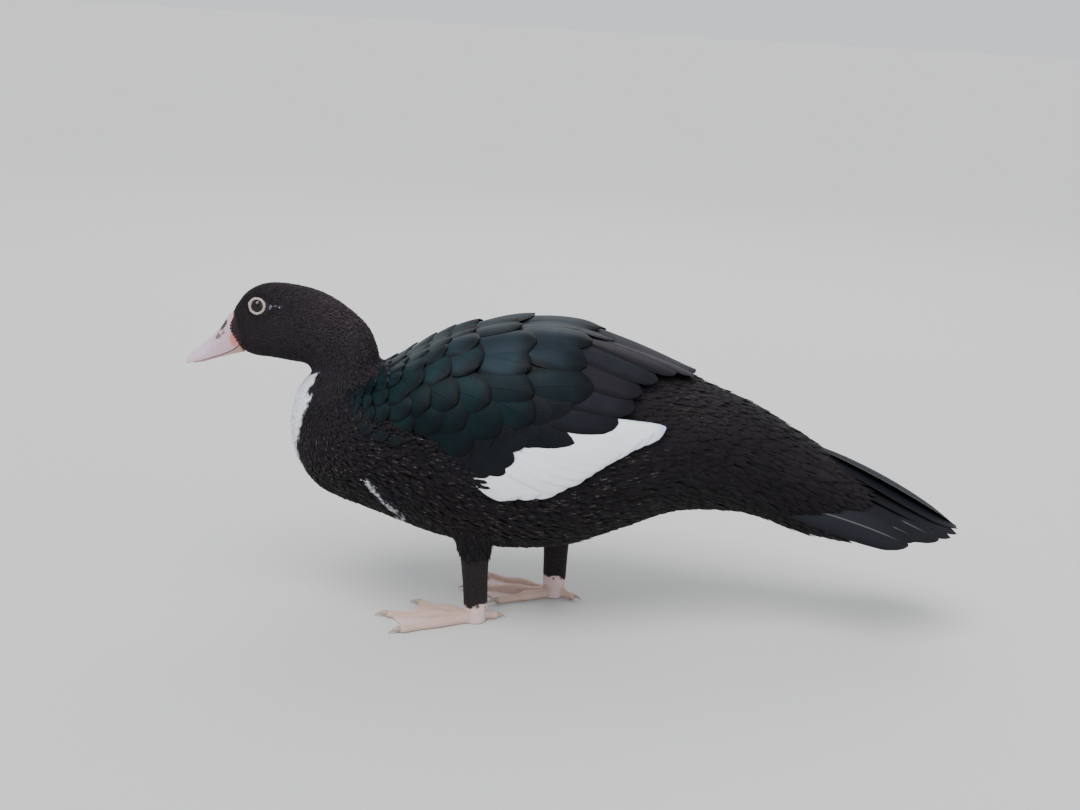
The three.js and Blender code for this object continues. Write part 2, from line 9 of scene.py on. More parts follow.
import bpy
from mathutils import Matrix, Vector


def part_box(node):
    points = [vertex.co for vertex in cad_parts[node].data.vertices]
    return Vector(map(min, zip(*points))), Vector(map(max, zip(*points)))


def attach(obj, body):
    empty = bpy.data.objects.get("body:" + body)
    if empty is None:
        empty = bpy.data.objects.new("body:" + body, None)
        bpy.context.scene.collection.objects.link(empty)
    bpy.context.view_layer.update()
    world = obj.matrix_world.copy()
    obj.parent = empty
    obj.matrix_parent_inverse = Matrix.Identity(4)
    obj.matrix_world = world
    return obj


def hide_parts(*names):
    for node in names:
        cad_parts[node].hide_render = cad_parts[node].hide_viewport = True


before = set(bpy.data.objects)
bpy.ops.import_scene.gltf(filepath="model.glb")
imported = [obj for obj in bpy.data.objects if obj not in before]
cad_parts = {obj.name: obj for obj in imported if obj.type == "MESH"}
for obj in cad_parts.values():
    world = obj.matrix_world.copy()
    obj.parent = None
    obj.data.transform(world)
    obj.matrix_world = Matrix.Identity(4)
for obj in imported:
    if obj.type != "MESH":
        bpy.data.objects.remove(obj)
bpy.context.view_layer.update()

import logging
import math
from collections.abc import Callable, Sequence
from dataclasses import dataclass, field, replace
from enum import Enum
from functools import cache, partial

import bmesh
import bpy
import numpy as np
from mathutils import Matrix, Vector
from mathutils.kdtree import KDTree

LOG = logging.getLogger("duck")
BODY = "root"
BAKE_MAP = "OFBake"
VANE_MAP = "Vane"
PATCH = 0.003
FULL_TURN = 2 * math.pi
Array = np.ndarray
Number = np.ndarray | float
Pairs = tuple[tuple[float, float], ...]
Triples = tuple[tuple[float, float, float], ...]
Colour = tuple[float, float, float]
Piece = bpy.types.Object
Socket = bpy.types.NodeSocket


class Side(Enum):
    """The duck's two sides, by the sign of Y."""

    LEFT = -1
    RIGHT = 1

    @property
    def word(self) -> str:
        """The side's name in the names of pieces."""
        return self.name.lower()


@dataclass(frozen=True)
class Station:
    """One flat ring of the body: its points on back and belly as (x, z), and its shape."""

    name: str
    back: tuple[float, float]
    belly: tuple[float, float]
    half: float
    level: float
    full: float


STATIONS = (
    Station("brow", (-0.2635, 0.257), (-0.253, 0.221), 0.0125, 0.45, 2.1),
    Station("eye", (-0.252, 0.2725), (-0.243, 0.2188), 0.0195, 0.47, 2.3),
    Station("crown", (-0.235, 0.2805), (-0.229, 0.218), 0.0235, 0.47, 2.3),
    Station("cheek", (-0.212, 0.2803), (-0.2125, 0.2158), 0.025, 0.46, 2.2),
    Station("occiput", (-0.19, 0.275), (-0.201, 0.214), 0.0255, 0.47, 2.1),
    Station("throat", (-0.168, 0.2625), (-0.1968, 0.209), 0.0255, 0.5, 2.0),
    Station("nape", (-0.1505, 0.247), (-0.198, 0.2045), 0.026, 0.5, 2.0),
    Station("neck", (-0.142, 0.2315), (-0.204, 0.197), 0.028, 0.5, 2.0),
    Station("neck_root", (-0.139, 0.221), (-0.2103, 0.184), 0.033, 0.5, 2.0),
    Station("crop", (-0.133, 0.2185), (-0.2135, 0.16), 0.042, 0.48, 2.0),
    Station("breast", (-0.122, 0.2225), (-0.2065, 0.1325), 0.055, 0.46, 2.1),
    Station("keel", (-0.107, 0.23), (-0.184, 0.107), 0.067, 0.45, 2.1),
    Station("shoulder", (-0.085, 0.239), (-0.139, 0.0905), 0.075, 0.45, 2.1),
    Station("ribs", (-0.055, 0.248), (-0.082, 0.0715), 0.079, 0.45, 2.1),
    Station("back", (-0.015, 0.2545), (-0.028, 0.063), 0.08, 0.45, 2.1),
    Station("loin", (0.03, 0.2525), (0.028, 0.068), 0.078, 0.45, 2.1),
    Station("hip", (0.075, 0.24), (0.076, 0.086), 0.071, 0.47, 2.1),
    Station("rump", (0.115, 0.226), (0.118, 0.102), 0.061, 0.5, 2.0),
    Station("vent", (0.152, 0.212), (0.156, 0.1055), 0.051, 0.52, 2.0),
    Station("tail_root", (0.188, 0.197), (0.192, 0.102), 0.043, 0.55, 2.0),
    Station("tail_mid", (0.232, 0.173), (0.236, 0.087), 0.038, 0.6, 2.0),
    Station("tail_end", (0.278, 0.146), (0.284, 0.08), 0.034, 0.62, 2.0),
    Station("tail_tip", (0.325, 0.121), (0.328, 0.078), 0.026, 0.62, 2.0),
    Station("tail_point", (0.371, 0.102), (0.369, 0.095), 0.009, 0.5, 2.0),
)
EYE = Vector((-0.2395, 0.0153, 0.264))
EYE_RADIUS = 0.0072
EYE_AXIS = Vector((-0.12, 1.0, 0.12)).normalized()
SHIFT = sum(corner.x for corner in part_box("eye_left")) / 2 - EYE.x


def filled(value: Array, full: Array) -> Array:
    """Sine or cosine of a ring whose corners are filled out; a `full` of 2 is an ellipse."""
    return np.sign(value) * np.abs(value) ** (2 / full)


def through(table: Array, place: Array) -> Array:
    """Reads a smooth curve through the rows of a table.

    Args:
        table: One row for each station.
        place: Where to read, in stations.

    Returns:
        The curve's values at each place.
    """
    place = np.clip(place, 0, len(table) - 1 - 1e-9)
    index = np.floor(place).astype(int)
    f = (place - index)[..., None]
    ends = np.vstack([2 * table[0] - table[1], table, 2 * table[-1] - table[-2]])
    a, b, c, d = (ends[index + i] for i in range(4))
    square, cube = 2 * a - 5 * b + 4 * c - d, 3 * b - a - 3 * c + d
    return 0.5 * (2 * b + (c - a) * f + square * f**2 + cube * f**3)


def read(pairs: Pairs, place: Number) -> Array:
    """Reads a value off (place, value) pairs by straight lines."""
    return np.interp(place, [p[0] for p in pairs], [p[1] for p in pairs])


def smooth(value: Number) -> Array:
    """A value from 0 to 1, eased at both ends."""
    value = np.clip(value, 0, 1)
    return value * value * (3 - 2 * value)


def above(value: Array, start: Number, rise: float) -> Array:
    """0 up to a start, and eased to 1 over a rise; a negative rise counts downwards."""
    return smooth((value - start) / rise)


def within(value: Array, start: Number, rise: float, end: Number, fall: float) -> Array:
    """1 between a start and an end, eased over a rise after the start and a fall before the end."""
    return above(value, start, rise) * above(value, end, -fall)


def from_back(angle: Array) -> Array:
    """Degrees from the middle of the back, alike on both sides."""
    return np.degrees(np.abs(angle))


def to_line(points: Array, start: Sequence[float], end: Sequence[float]) -> Array:
    """How far points are from a straight line between two points.

    Args:
        points: The points, with their axes last.
        start: The line's first end.
        end: Its other end.

    Returns:
        The distance of each.
    """
    a, b = np.array(start), np.array(end)
    along = np.clip((points - a) @ (b - a) / np.dot(b - a, b - a), 0, 1)
    return np.linalg.norm(points - a - along[..., None] * (b - a), axis=-1)


class Form:
    """A surface read by two parameters, with a height out from it."""

    step = (0.01, 0.02)

    def point(self, t: Array, angle: Array, out: Number = 0.0) -> Array:
        """A point of the surface; each form gives its own."""
        raise NotImplementedError

    def grip(self, t: Array, angle: Array) -> tuple[Array, Array]:
        """How far the surface runs for one unit of each parameter.

        Args:
            t: The first parameter.
            angle: The second parameter.

        Returns:
            The lengths along the first and the second parameter.
        """
        dt, da = self.step
        along = self.point(t + dt, angle) - self.point(t - dt, angle)
        around = self.point(t, angle + da) - self.point(t, angle - da)
        least = 1e-3
        along, around = np.linalg.norm(along, axis=-1) / (2 * dt), np.linalg.norm(around, axis=-1) / (2 * da)
        return np.maximum(along, least), np.maximum(around, least)


@dataclass
class BodyForm(Form):
    """The body as a sweep of rings from the brow to the tip of the tail."""

    stations: tuple[Station, ...] = STATIONS
    wing_from: float = 7.75
    halvings: int = 22

    def __post_init__(self) -> None:
        """Reads the stations into tables."""
        self.back = np.array([s.back for s in self.stations])
        self.belly = np.array([s.belly for s in self.stations])
        self.girth = np.array([(s.half, s.level, s.full) for s in self.stations])

    def point(self, t: Array, angle: Array, out: Number = 0.0) -> Array:
        """A point over the body.

        Args:
            t: Place along the body, in stations.
            angle: Angle from the middle of the back, negative on the left side.
            out: How far the point stands over the surface.

        Returns:
            The points, with x, y and z last.
        """
        t, angle, out = np.broadcast_arrays(t, angle, out)
        back, belly, girth = through(self.back, t), through(self.belly, t), through(self.girth, t)
        half, level, full = girth[..., 0], girth[..., 1], girth[..., 2]
        depth = np.linalg.norm(back - belly, axis=-1)
        rise = (back - belly) / depth[..., None]
        cos, sin = np.cos(angle), np.sin(angle)
        reach = depth * np.where(cos > 0, 1 - level, level)
        up = depth * level + (reach + out) * filled(cos, full)
        flat = belly + rise * up[..., None]
        return np.stack([flat[..., 0], (half + out) * filled(sin, full), flat[..., 1]], -1)

    def station_at(self, x: Array, angle: Array) -> Array:
        """Finds where the body passes a place at an angle, by halving.

        Args:
            x: The place along X.
            angle: The angle from the middle of the back.

        Returns:
            The stations.
        """
        low, high = np.full(np.shape(x), self.wing_from), np.full(np.shape(x), len(self.stations) - 1.0)
        for _ in range(self.halvings):
            middle = (low + high) / 2
            short = self.point(middle, angle)[..., 0] < x
            low, high = np.where(short, middle, low), np.where(short, high, middle)
        return low


@dataclass
class GridForm(Form):
    """A surface read from a fine grid of points, with heights along its normals."""

    first: Array
    second: Array
    points: Array
    centre: Array

    def __post_init__(self) -> None:
        """Works out the normals, which point away from the centres."""
        self.step = (self.first[1] - self.first[0], self.second[1] - self.second[0])
        normals = np.cross(np.gradient(self.points, axis=0), np.gradient(self.points, axis=1))
        normals /= np.maximum(np.linalg.norm(normals, axis=-1, keepdims=True), 1e-12)
        outward = np.einsum("ijk,ijk->ij", normals, self.points - self.centre)
        self.normals = normals * np.sign(np.median(outward))

    def point(self, t: Array, angle: Array, out: Number = 0.0) -> Array:
        """A point over the grid.

        Args:
            t: The first parameter.
            angle: The second parameter.
            out: The height over the surface.

        Returns:
            The points, with x, y and z last.
        """
        t, angle, out = np.broadcast_arrays(t, angle, out)
        p = np.clip((t - self.first[0]) / self.step[0], 0, len(self.first) - 1.001)
        q = np.clip((angle - self.second[0]) / self.step[1], 0, len(self.second) - 1.001)
        i, j = p.astype(int), q.astype(int)
        f, g = (p - i)[..., None], (q - j)[..., None]

        def read_at(table: Array) -> Array:
            """Reads a table between its four nearest places.

            Args:
                table: The table.

            Returns:
                What it says at each place.
            """
            low = table[i, j] * (1 - g) + table[i, j + 1] * g
            high = table[i + 1, j] * (1 - g) + table[i + 1, j + 1] * g
            return low * (1 - f) + high * f

        return read_at(self.points) + read_at(self.normals) * out[..., None]


@dataclass(frozen=True)
class WingForm:
    """The folded wing's height over the body, by x and degrees from the middle of the back."""

    lower: Pairs = (
        (-0.16, 66), (-0.14, 73), (-0.116, 75), (-0.094, 79), (-0.073, 84), (-0.05, 93),
        (-0.028, 104), (0.005, 102), (0.043, 91), (0.077, 82), (0.104, 72),
    )
    front: Pairs = ((4, -0.112), (20, -0.124), (34, -0.137), (62, -0.151), (75, -0.147))
    rear: Pairs = ((4, 0.116), (14, 0.124), (43, 0.098), (66, 0.106), (74, 0.102))
    thick: Pairs = (
        (0, 0.004), (12, 0.01), (24, 0.0135), (45, 0.012), (70, 0.01), (90, 0.0075), (108, 0.004),
    )
    edge: float = 0.0016
    clear: float = 0.0008
    swell_front: float = 0.045
    swell_rear: float = 0.09
    swell_lower: float = 14.0
    rear_left: float = 0.25
    straight_from: float = 9.3
    straight_reach: float = 0.006
    core: float = -0.03
    flesh_drop: float = 0.0036
    flesh_rear: float = 0.042
    flesh_edge: float = 0.01
    flesh_lower: float = 8.0
    flesh_top: tuple[float, float] = (3.0, 4.0)
    grid_x: tuple[float, float, int] = (-0.19, 0.17, 181)
    grid_angle: tuple[float, float, int] = (-0.7, 2.3, 151)

    def depth(self, x: Array, degrees: Array) -> Array:
        """How thick the wing is over the body.

        Args:
            x: Place along the body.
            degrees: Angle from the middle of the back, in degrees.

        Returns:
            The height of the feathers' surface.
        """
        front = np.clip((x - read(self.front, degrees)) / self.swell_front, 0, 1)
        rear = np.clip((read(self.rear, degrees) - x) / self.swell_rear, 0, 1)
        below = np.clip((read(self.lower, x) - degrees) / self.swell_lower, 0, 1)
        swell = np.sqrt(front * below) * (self.rear_left + (1 - self.rear_left) * rear)
        return self.edge + (read(self.thick, degrees) - self.edge) * swell

    def inside(self, x: Array, degrees: Array) -> Array:
        """How far inside the flesh of the wing a place is.

        Args:
            x: Place along the body.
            degrees: Angle from the middle of the back, in degrees.

        Returns:
            0 outside, eased to 1 inside.
        """
        front = (x - read(self.front, degrees)) / self.flesh_edge
        rear = (read(self.rear, degrees) - self.flesh_rear - x) / self.flesh_edge
        below = (read(self.lower, x) - degrees) / self.flesh_lower
        top = (degrees - self.flesh_top[0]) / self.flesh_top[1]
        return smooth(np.minimum.reduce([front, rear, below, top]))

    def surface(self, body: BodyForm, side: Side) -> GridForm:
        """The outer surface of a wing, by x and an angle that is positive on both sides.

        Args:
            body: The body under it.
            side: Which wing.

        Returns:
            The surface, whose front runs on straight past the wing's bend.
        """
        x, angle = np.linspace(*self.grid_x), np.linspace(*self.grid_angle)
        xs, angles = np.meshgrid(x, angle, indexing="ij")
        front = body.point(np.full_like(xs, self.straight_from), angles)[..., 0]

        def over(place: Array, height: float) -> Array:
            """Points at a height over the wing's feathers."""
            out = self.clear + self.depth(place, from_back(angles)) + height
            return body.point(body.station_at(place, angles), angles, out)

        held = np.maximum(xs, front)
        slope = over(front + self.straight_reach, 0.0) - over(front, 0.0)
        ahead = slope * ((held - xs)[..., None] / self.straight_reach)
        flip = np.array((1.0, side.value, 1.0))
        return GridForm(x, angle, (over(held, 0.0) - ahead) * flip, (over(held, self.core) - ahead) * flip)


@dataclass
class Markings:
    """Where the plumage is pale, alike on the skin and on the feathers.

    The bib's edge and the streak are (station, degrees), a wave is its size, rate and shift and how
    far the sides differ, and a brow mark is its x, z and half width.
    """

    body: BodyForm
    bib: Pairs = (
        (5.95, 172), (6.2, 138), (6.45, 119), (6.7, 122), (7.67, 128), (8.19, 119), (8.81, 125),
        (9.33, 136), (9.9, 149), (10.4, 159), (10.9, 167), (11.25, 176), (11.45, 184),
    )
    bib_soft: float = 4.0
    waves: tuple = ((1.6, 6.1, 0.0, 1.3), (1.4, 14.3, 2.0, 0.0), (1.2, 31.0, 0.0, 0.0))
    streak: Pairs = (
        (11.63, -113), (11.82, -119), (12.01, -127), (12.16, -132), (12.3, -136), (12.4, -143),
        (12.45, -153), (12.49, -167),
    )
    streak_half: float = 0.0014
    streak_share: float = 0.75
    brow_marks: Triples = ((-0.229, 0.2648, 0.0007), (-0.224, 0.2651, 0.0004), (-0.2206, 0.2654, 0.0004))

    def __post_init__(self) -> None:
        """Places the streak on the body."""
        places, angles = zip(*self.streak)
        self.streak_path = self.body.point(np.array(places), np.radians(angles))

    def pale(self, t: Array, angle: Array) -> Array:
        """How pale the plumage is.

        Args:
            t: Place along the body, in stations.
            angle: Angle from the middle of the back.

        Returns:
            The share of white, from 0 to 1.
        """
        sign = np.sign(angle)
        wave = sum(size * np.sin(rate * t + shift + sides * sign) for size, rate, shift, sides in self.waves)
        inside = (t > self.bib[0][0]) * (t < self.bib[-1][0])
        bib = above(from_back(angle), read(self.bib, t) + wave, self.bib_soft) * inside
        points = self.body.point(t, angle)
        paths = zip(self.streak_path, self.streak_path[1:])
        away = np.minimum.reduce([to_line(points, a, b) for a, b in paths])
        streak = self.streak_share * smooth(1.5 - away / self.streak_half)
        x, z = points[..., 0], points[..., 2]
        marks = [smooth(1.6 - np.hypot(x - at_x, z - at_z) / half) for at_x, at_z, half in self.brow_marks]
        return np.maximum.reduce([bib, streak, *marks])


@dataclass(frozen=True)
class VaneCut:
    """How a vane is cut: half its width at shares of its length, and its columns."""

    rows: tuple[float, ...]
    widths: tuple[float, ...]
    columns: tuple[float, ...]
    lined: bool
    thick: float

    def ring(self) -> tuple[Array, Array]:
        """The places round one closed row.

        Returns:
            Each point's place across the vane from -1 to 1, and its face: 1 above, -1 below,
            0 on the rim.
        """
        inner = self.columns[1:-1]
        below = tuple(reversed(inner)) if self.lined else ()
        across = np.array([*self.columns, *below])
        face = np.array([0.0, *(1.0 for _ in inner), 0.0, *(-1.0 for _ in below)])
        return across, face


def rounded(rows: int, shape: Pairs, columns: int, thick: float) -> VaneCut:
    """A finely cut vane whose rows are closer towards its tip.

    Args:
        rows: How many rows it has.
        shape: Half width at shares of its length, as shares of the widest.
        columns: How many columns its upper face has.
        thick: How thick it is.

    Returns:
        The cut.
    """
    places = 1 - (1 - np.linspace(0, 1, rows)) ** 1.5
    numbered = read([(p, i) for i, (p, _) in enumerate(shape)], places)
    widths = through(np.array([[w] for _, w in shape]), numbered)[..., 0]
    return VaneCut(tuple(places), tuple(widths), tuple(np.linspace(-1, 1, columns)), True, thick)


COVERT_SHAPE = ((0, 0.4), (0.25, 0.78), (0.55, 1.0), (0.8, 0.86), (0.92, 0.6), (0.975, 0.34), (1, 0.08))
LONG_SHAPE = ((0, 0.4), (0.3, 0.8), (0.6, 1.0), (0.85, 0.7), (1, 0.06))
QUILL_SHAPE = ((0, 0.45), (0.3, 0.85), (0.6, 1.0), (0.85, 0.86), (0.95, 0.55), (0.985, 0.3), (1, 0.08))
TAIL_SHAPE = ((0, 0.45), (0.3, 0.85), (0.6, 1.0), (0.82, 0.85), (0.93, 0.52), (0.98, 0.25), (1, 0.05))
TUFT = VaneCut((0, 0.35, 0.75, 1), (0.5, 1, 0.8, 0.12), (-1, 0, 1), False, 0.0003)
SOFT = VaneCut((0, 0.3, 0.6, 0.85, 1), (0.5, 0.9, 1, 0.6, 0.08), (-1, 0, 1), True, 0.0003)
COVERT = rounded(14, COVERT_SHAPE, 9, 0.0003)
LONG_COVERT = rounded(12, LONG_SHAPE, 7, 0.0004)
QUILL = rounded(22, QUILL_SHAPE, 11, 0.0005)
TAIL_QUILL = rounded(22, TAIL_SHAPE, 11, 0.0006)


def linked(name: str, data: bpy.types.ID) -> Piece:
    """Makes an object and links it to the scene.

    Args:
        name: Its name.
        data: Its mesh, lamp or camera.

    Returns:
        The object.
    """
    made = bpy.data.objects.new(name, data)
    bpy.context.scene.collection.objects.link(made)
    return made


def volume_of(rings: Array) -> float:
    """The signed volume that closed rings hold, as their faces are first wound.

    Args:
        rings: Points by vane, row and place round the row.

    Returns:
        The sum over all vanes.
    """
    a, b = rings[:, :-1], rings[:, 1:]
    corners = (a, b, np.roll(b, -1, axis=2), np.roll(a, -1, axis=2))
    a, b, c, d = (corner - rings.mean(axis=(1, 2), keepdims=True) for corner in corners)
    whole = np.einsum("...i,...i", a, np.cross(b, c)) + np.einsum("...i,...i", a, np.cross(c, d))
    return float(whole.sum())


@dataclass
class Batch:
    """Vanes of one cut: their rings, their places in the bake map and their values."""

    rings: Array
    cut: VaneCut
    places: Array
    values: dict[str, Array]


@dataclass
class Coat:
    """Many vanes joined into one mesh of closed feathers."""

    name: str
    batches: list[Batch] = field(default_factory=list)
    keys: tuple[str, ...] = ("tone", "pale", "fleck", "hue")
    map_edge: float = 0.0005
    sharp_from: float = math.radians(70)

    def add(self, rings: Array, cut: VaneCut, places: Array, **values: Number) -> None:
        """Adds vanes.

        Args:
            rings: Points by vane, row and place round the row.
            cut: The vanes' cut.
            places: Each vane's place in the bake map, from 0 to 1.
            values: What the finish reads, one number for each vane or for each point.
        """
        shape = rings.shape[:3]
        full = {key: np.zeros(shape) for key in self.keys}
        for key, value in values.items():
            value = np.asarray(value, float)
            full[key] = np.broadcast_to(value[:, None, None] if value.ndim == 1 else value, shape)
        self.batches.append(Batch(rings, cut, places, full))

    def faces(self) -> tuple[Array, Array]:
        """Joins the rows of every vane and closes its ends.

        Returns:
            The vertices at the faces' corners, and how many corners each face has.
        """
        corners, totals = [], []
        first = 0
        for batch in self.batches:
            index = first + np.arange(batch.rings[..., 0].size).reshape(batch.rings.shape[:3])
            following = np.roll(index, -1, axis=2)
            quads = np.stack([index[:, :-1], index[:, 1:], following[:, 1:], following[:, :-1]], -1)
            caps = np.concatenate([index[:, 0], index[:, -1, ::-1]])
            if volume_of(batch.rings) < 0:
                quads, caps = quads[..., ::-1], caps[:, ::-1]
            corners += [quads.reshape(-1), caps.reshape(-1)]
            totals += [np.full(quads.size // 4, 4), np.full(len(caps), caps.shape[1])]
            first += index.size
        return np.concatenate(corners), np.concatenate(totals)

    def maps(self) -> dict[str, Array]:
        """Works out the bake map, with a patch for each vane, and the map of places on the vane.

        Returns:
            The coordinates of each vertex, by the map's name.
        """
        vane, bake = [], []
        for batch in self.batches:
            round_, rows = batch.cut.ring()[0], np.array(batch.cut.rows)
            across, along = np.broadcast_arrays(round_ / 2 + 0.5, rows[:, None])
            place = np.stack([across, along], -1)
            patch = batch.places[:, None, None, :] + (place - 0.5) * PATCH
            bake.append(np.clip(patch, self.map_edge, 1 - self.map_edge).reshape(-1, 2))
            vane.append(np.broadcast_to(place, patch.shape).reshape(-1, 2))
        return {BAKE_MAP: np.concatenate(bake), VANE_MAP: np.concatenate(vane)}

    def build(self) -> Piece:
        """Makes the coat's mesh.

        Returns:
            The object, with its maps and its values on it.
        """
        points = np.concatenate([batch.rings.reshape(-1, 3) for batch in self.batches]) + (SHIFT, 0, 0)
        corners, totals = self.faces()
        mesh = bpy.data.meshes.new(self.name)
        mesh.vertices.add(len(points))
        mesh.vertices.foreach_set("co", points.astype(np.float32).ravel())
        mesh.loops.add(len(corners))
        mesh.loops.foreach_set("vertex_index", corners.astype(np.int32))
        mesh.polygons.add(len(totals))
        mesh.polygons.foreach_set("loop_start", (np.cumsum(totals) - totals).astype(np.int32))
        mesh.update(calc_edges=True)
        for name, coordinates in self.maps().items():
            layer = mesh.uv_layers.new(name=name, do_init=False)
            layer.uv.foreach_set("vector", coordinates[corners].astype(np.float32).ravel())
        for key in self.keys:
            values = np.concatenate([batch.values[key].reshape(-1) for batch in self.batches])
            mesh.attributes.new(key, "FLOAT", "POINT").data.foreach_set("value", values.astype(np.float32))
        mesh.shade_smooth()
        mesh.set_sharp_from_angle(angle=self.sharp_from)
        return linked(self.name, mesh)


@dataclass
class Roots:
    """Where feathers grow on a form, and how long, wide and turned each is."""

    t: Array
    angle: Array
    length: Array
    half: Array
    turn: Array
    root_out: Array
    tip_out: Array
    camber: float = 0.12
    roll: float = 0.0
    skew: float = 0.0
    tips: tuple[Array, Array] | None = None


def lay(form: Form, roots: Roots, cut: VaneCut) -> tuple[Array, Array, Array]:
    """Lays vanes along a form's surface.

    Args:
        form: The surface they lie on.
        roots: Their roots and sizes.
        cut: Their cut.

    Returns:
        The rings of every vane, and the surface's two parameters at each point.
    """
    across, face = cut.ring()
    t, angle, turn = roots.t.copy(), roots.angle.copy(), roots.turn
    all_t, all_angle, all_out = [], [], []
    before = 0.0
    for share, width in zip(cut.rows, cut.widths):
        along, around = form.grip(t, angle)
        if roots.tips is None:
            t = t + roots.length * (share - before) * np.cos(turn) / along
            angle = angle + roots.length * (share - before) * np.sin(turn) / around
        else:
            run, climb = roots.tips[0] - roots.t, roots.tips[1] - roots.angle
            t, angle = roots.t + run * share, roots.angle + climb * share
            turn = np.arctan2(climb * around, run * along)
        cos, sin = np.cos(turn), np.sin(turn)
        before = share
        side = roots.half[:, None] * (width * across - roots.skew * (1 - width) * (share > 0.5))
        out = roots.root_out + (roots.tip_out - roots.root_out) * (1 - (1 - share) ** 1.6)
        bend = roots.camber * roots.half[:, None] * across**2
        all_t.append(t[:, None] - side * (sin / along)[:, None])
        all_angle.append(angle[:, None] + side * (cos / around)[:, None])
        all_out.append(out[:, None] - bend + roots.roll * across + face * cut.thick / 2)
    t, angle, out = (np.stack(part, 1) for part in (all_t, all_angle, all_out))
    return form.point(t, angle, out), t, angle


def on_spines(
    point: Array, sideways: Array, normal: Array, half: Array, cut: VaneCut, roll: float, curve: float
) -> Array:
    """Sets vanes on given spines.

    Args:
        point: Each spine's points, by vane and row.
        sideways: The direction across the vane at each point.
        normal: The direction out of its upper face at each point.
        half: Half the width of each vane.
        cut: The vanes' cut.
        roll: How far the edge at +1 is raised.
        curve: The radius that the vane bends round across.

    Returns:
        The rings of every vane.
    """
    across, face = cut.ring()
    width = half[:, None, None] * np.array(cut.widths)[None, :, None] * across
    rise = face * cut.thick / 2 + roll * across - width**2 / (2 * curve)
    return point[:, :, None] + sideways[:, :, None] * width[..., None] + normal[:, :, None] * rise[..., None]


def spread(form: Form, start: float, end: float, gap: Callable, seed: int) -> tuple[Array, Array]:
    """Spreads roots evenly over a length of a form.

    Args:
        form: The surface.
        start: Where the length begins.
        end: Where it ends.
        gap: The distance between roots, as a function of the two parameters.
        seed: Seeds the draw.

    Returns:
        The two parameters of each root.
    """
    draw = np.random.default_rng(seed)
    samples, share, tries = 4000, 99.5, 5.0

    def crowding(t: Array, angle: Array) -> Array:
        """How many roots fit on one unit of both parameters."""
        along, around = form.grip(t, angle)
        return along * around / gap(t, angle) ** 2

    sample = crowding(draw.uniform(start, end, samples), draw.uniform(-math.pi, math.pi, samples))
    most = np.percentile(sample, share)
    amount = int(tries * most * (end - start) * 2 * math.pi)
    t, angle = draw.uniform(start, end, amount), draw.uniform(-math.pi, math.pi, amount)
    kept = draw.uniform(0, most, amount) < crowding(t, angle)
    t, angle = t[kept], angle[kept]
    points, gaps = form.point(t, angle), gap(t, angle)
    tree = KDTree(len(points))
    for i, place in enumerate(points):
        tree.insert(place, i)
    tree.balance()
    free = np.ones(len(points), bool)
    chosen = []
    for i in range(len(points)):
        if free[i]:
            chosen.append(i)
            free[[found[1] for found in tree.find_range(points[i], gaps[i])]] = False
    return t[chosen], angle[chosen]


def shares(draw: np.random.Generator, middle: Number, wide: float, amount: int) -> Array:
    """Draws numbers round a middle, held between 0 and 1."""
    return np.clip(draw.normal(middle, wide, amount), 0, 1)


def round_share(angle: Array) -> Array:
    """An angle as a share of the full turn, with the middle of the back at one half."""
    return (angle / FULL_TURN + 0.5) % 1.0


def unwrapped(u: Array, v: Array) -> Array:
    """Places in the bake map, a little inside its edges."""
    return 0.02 + 0.96 * np.clip(np.stack([u, v], -1), 0, 1)


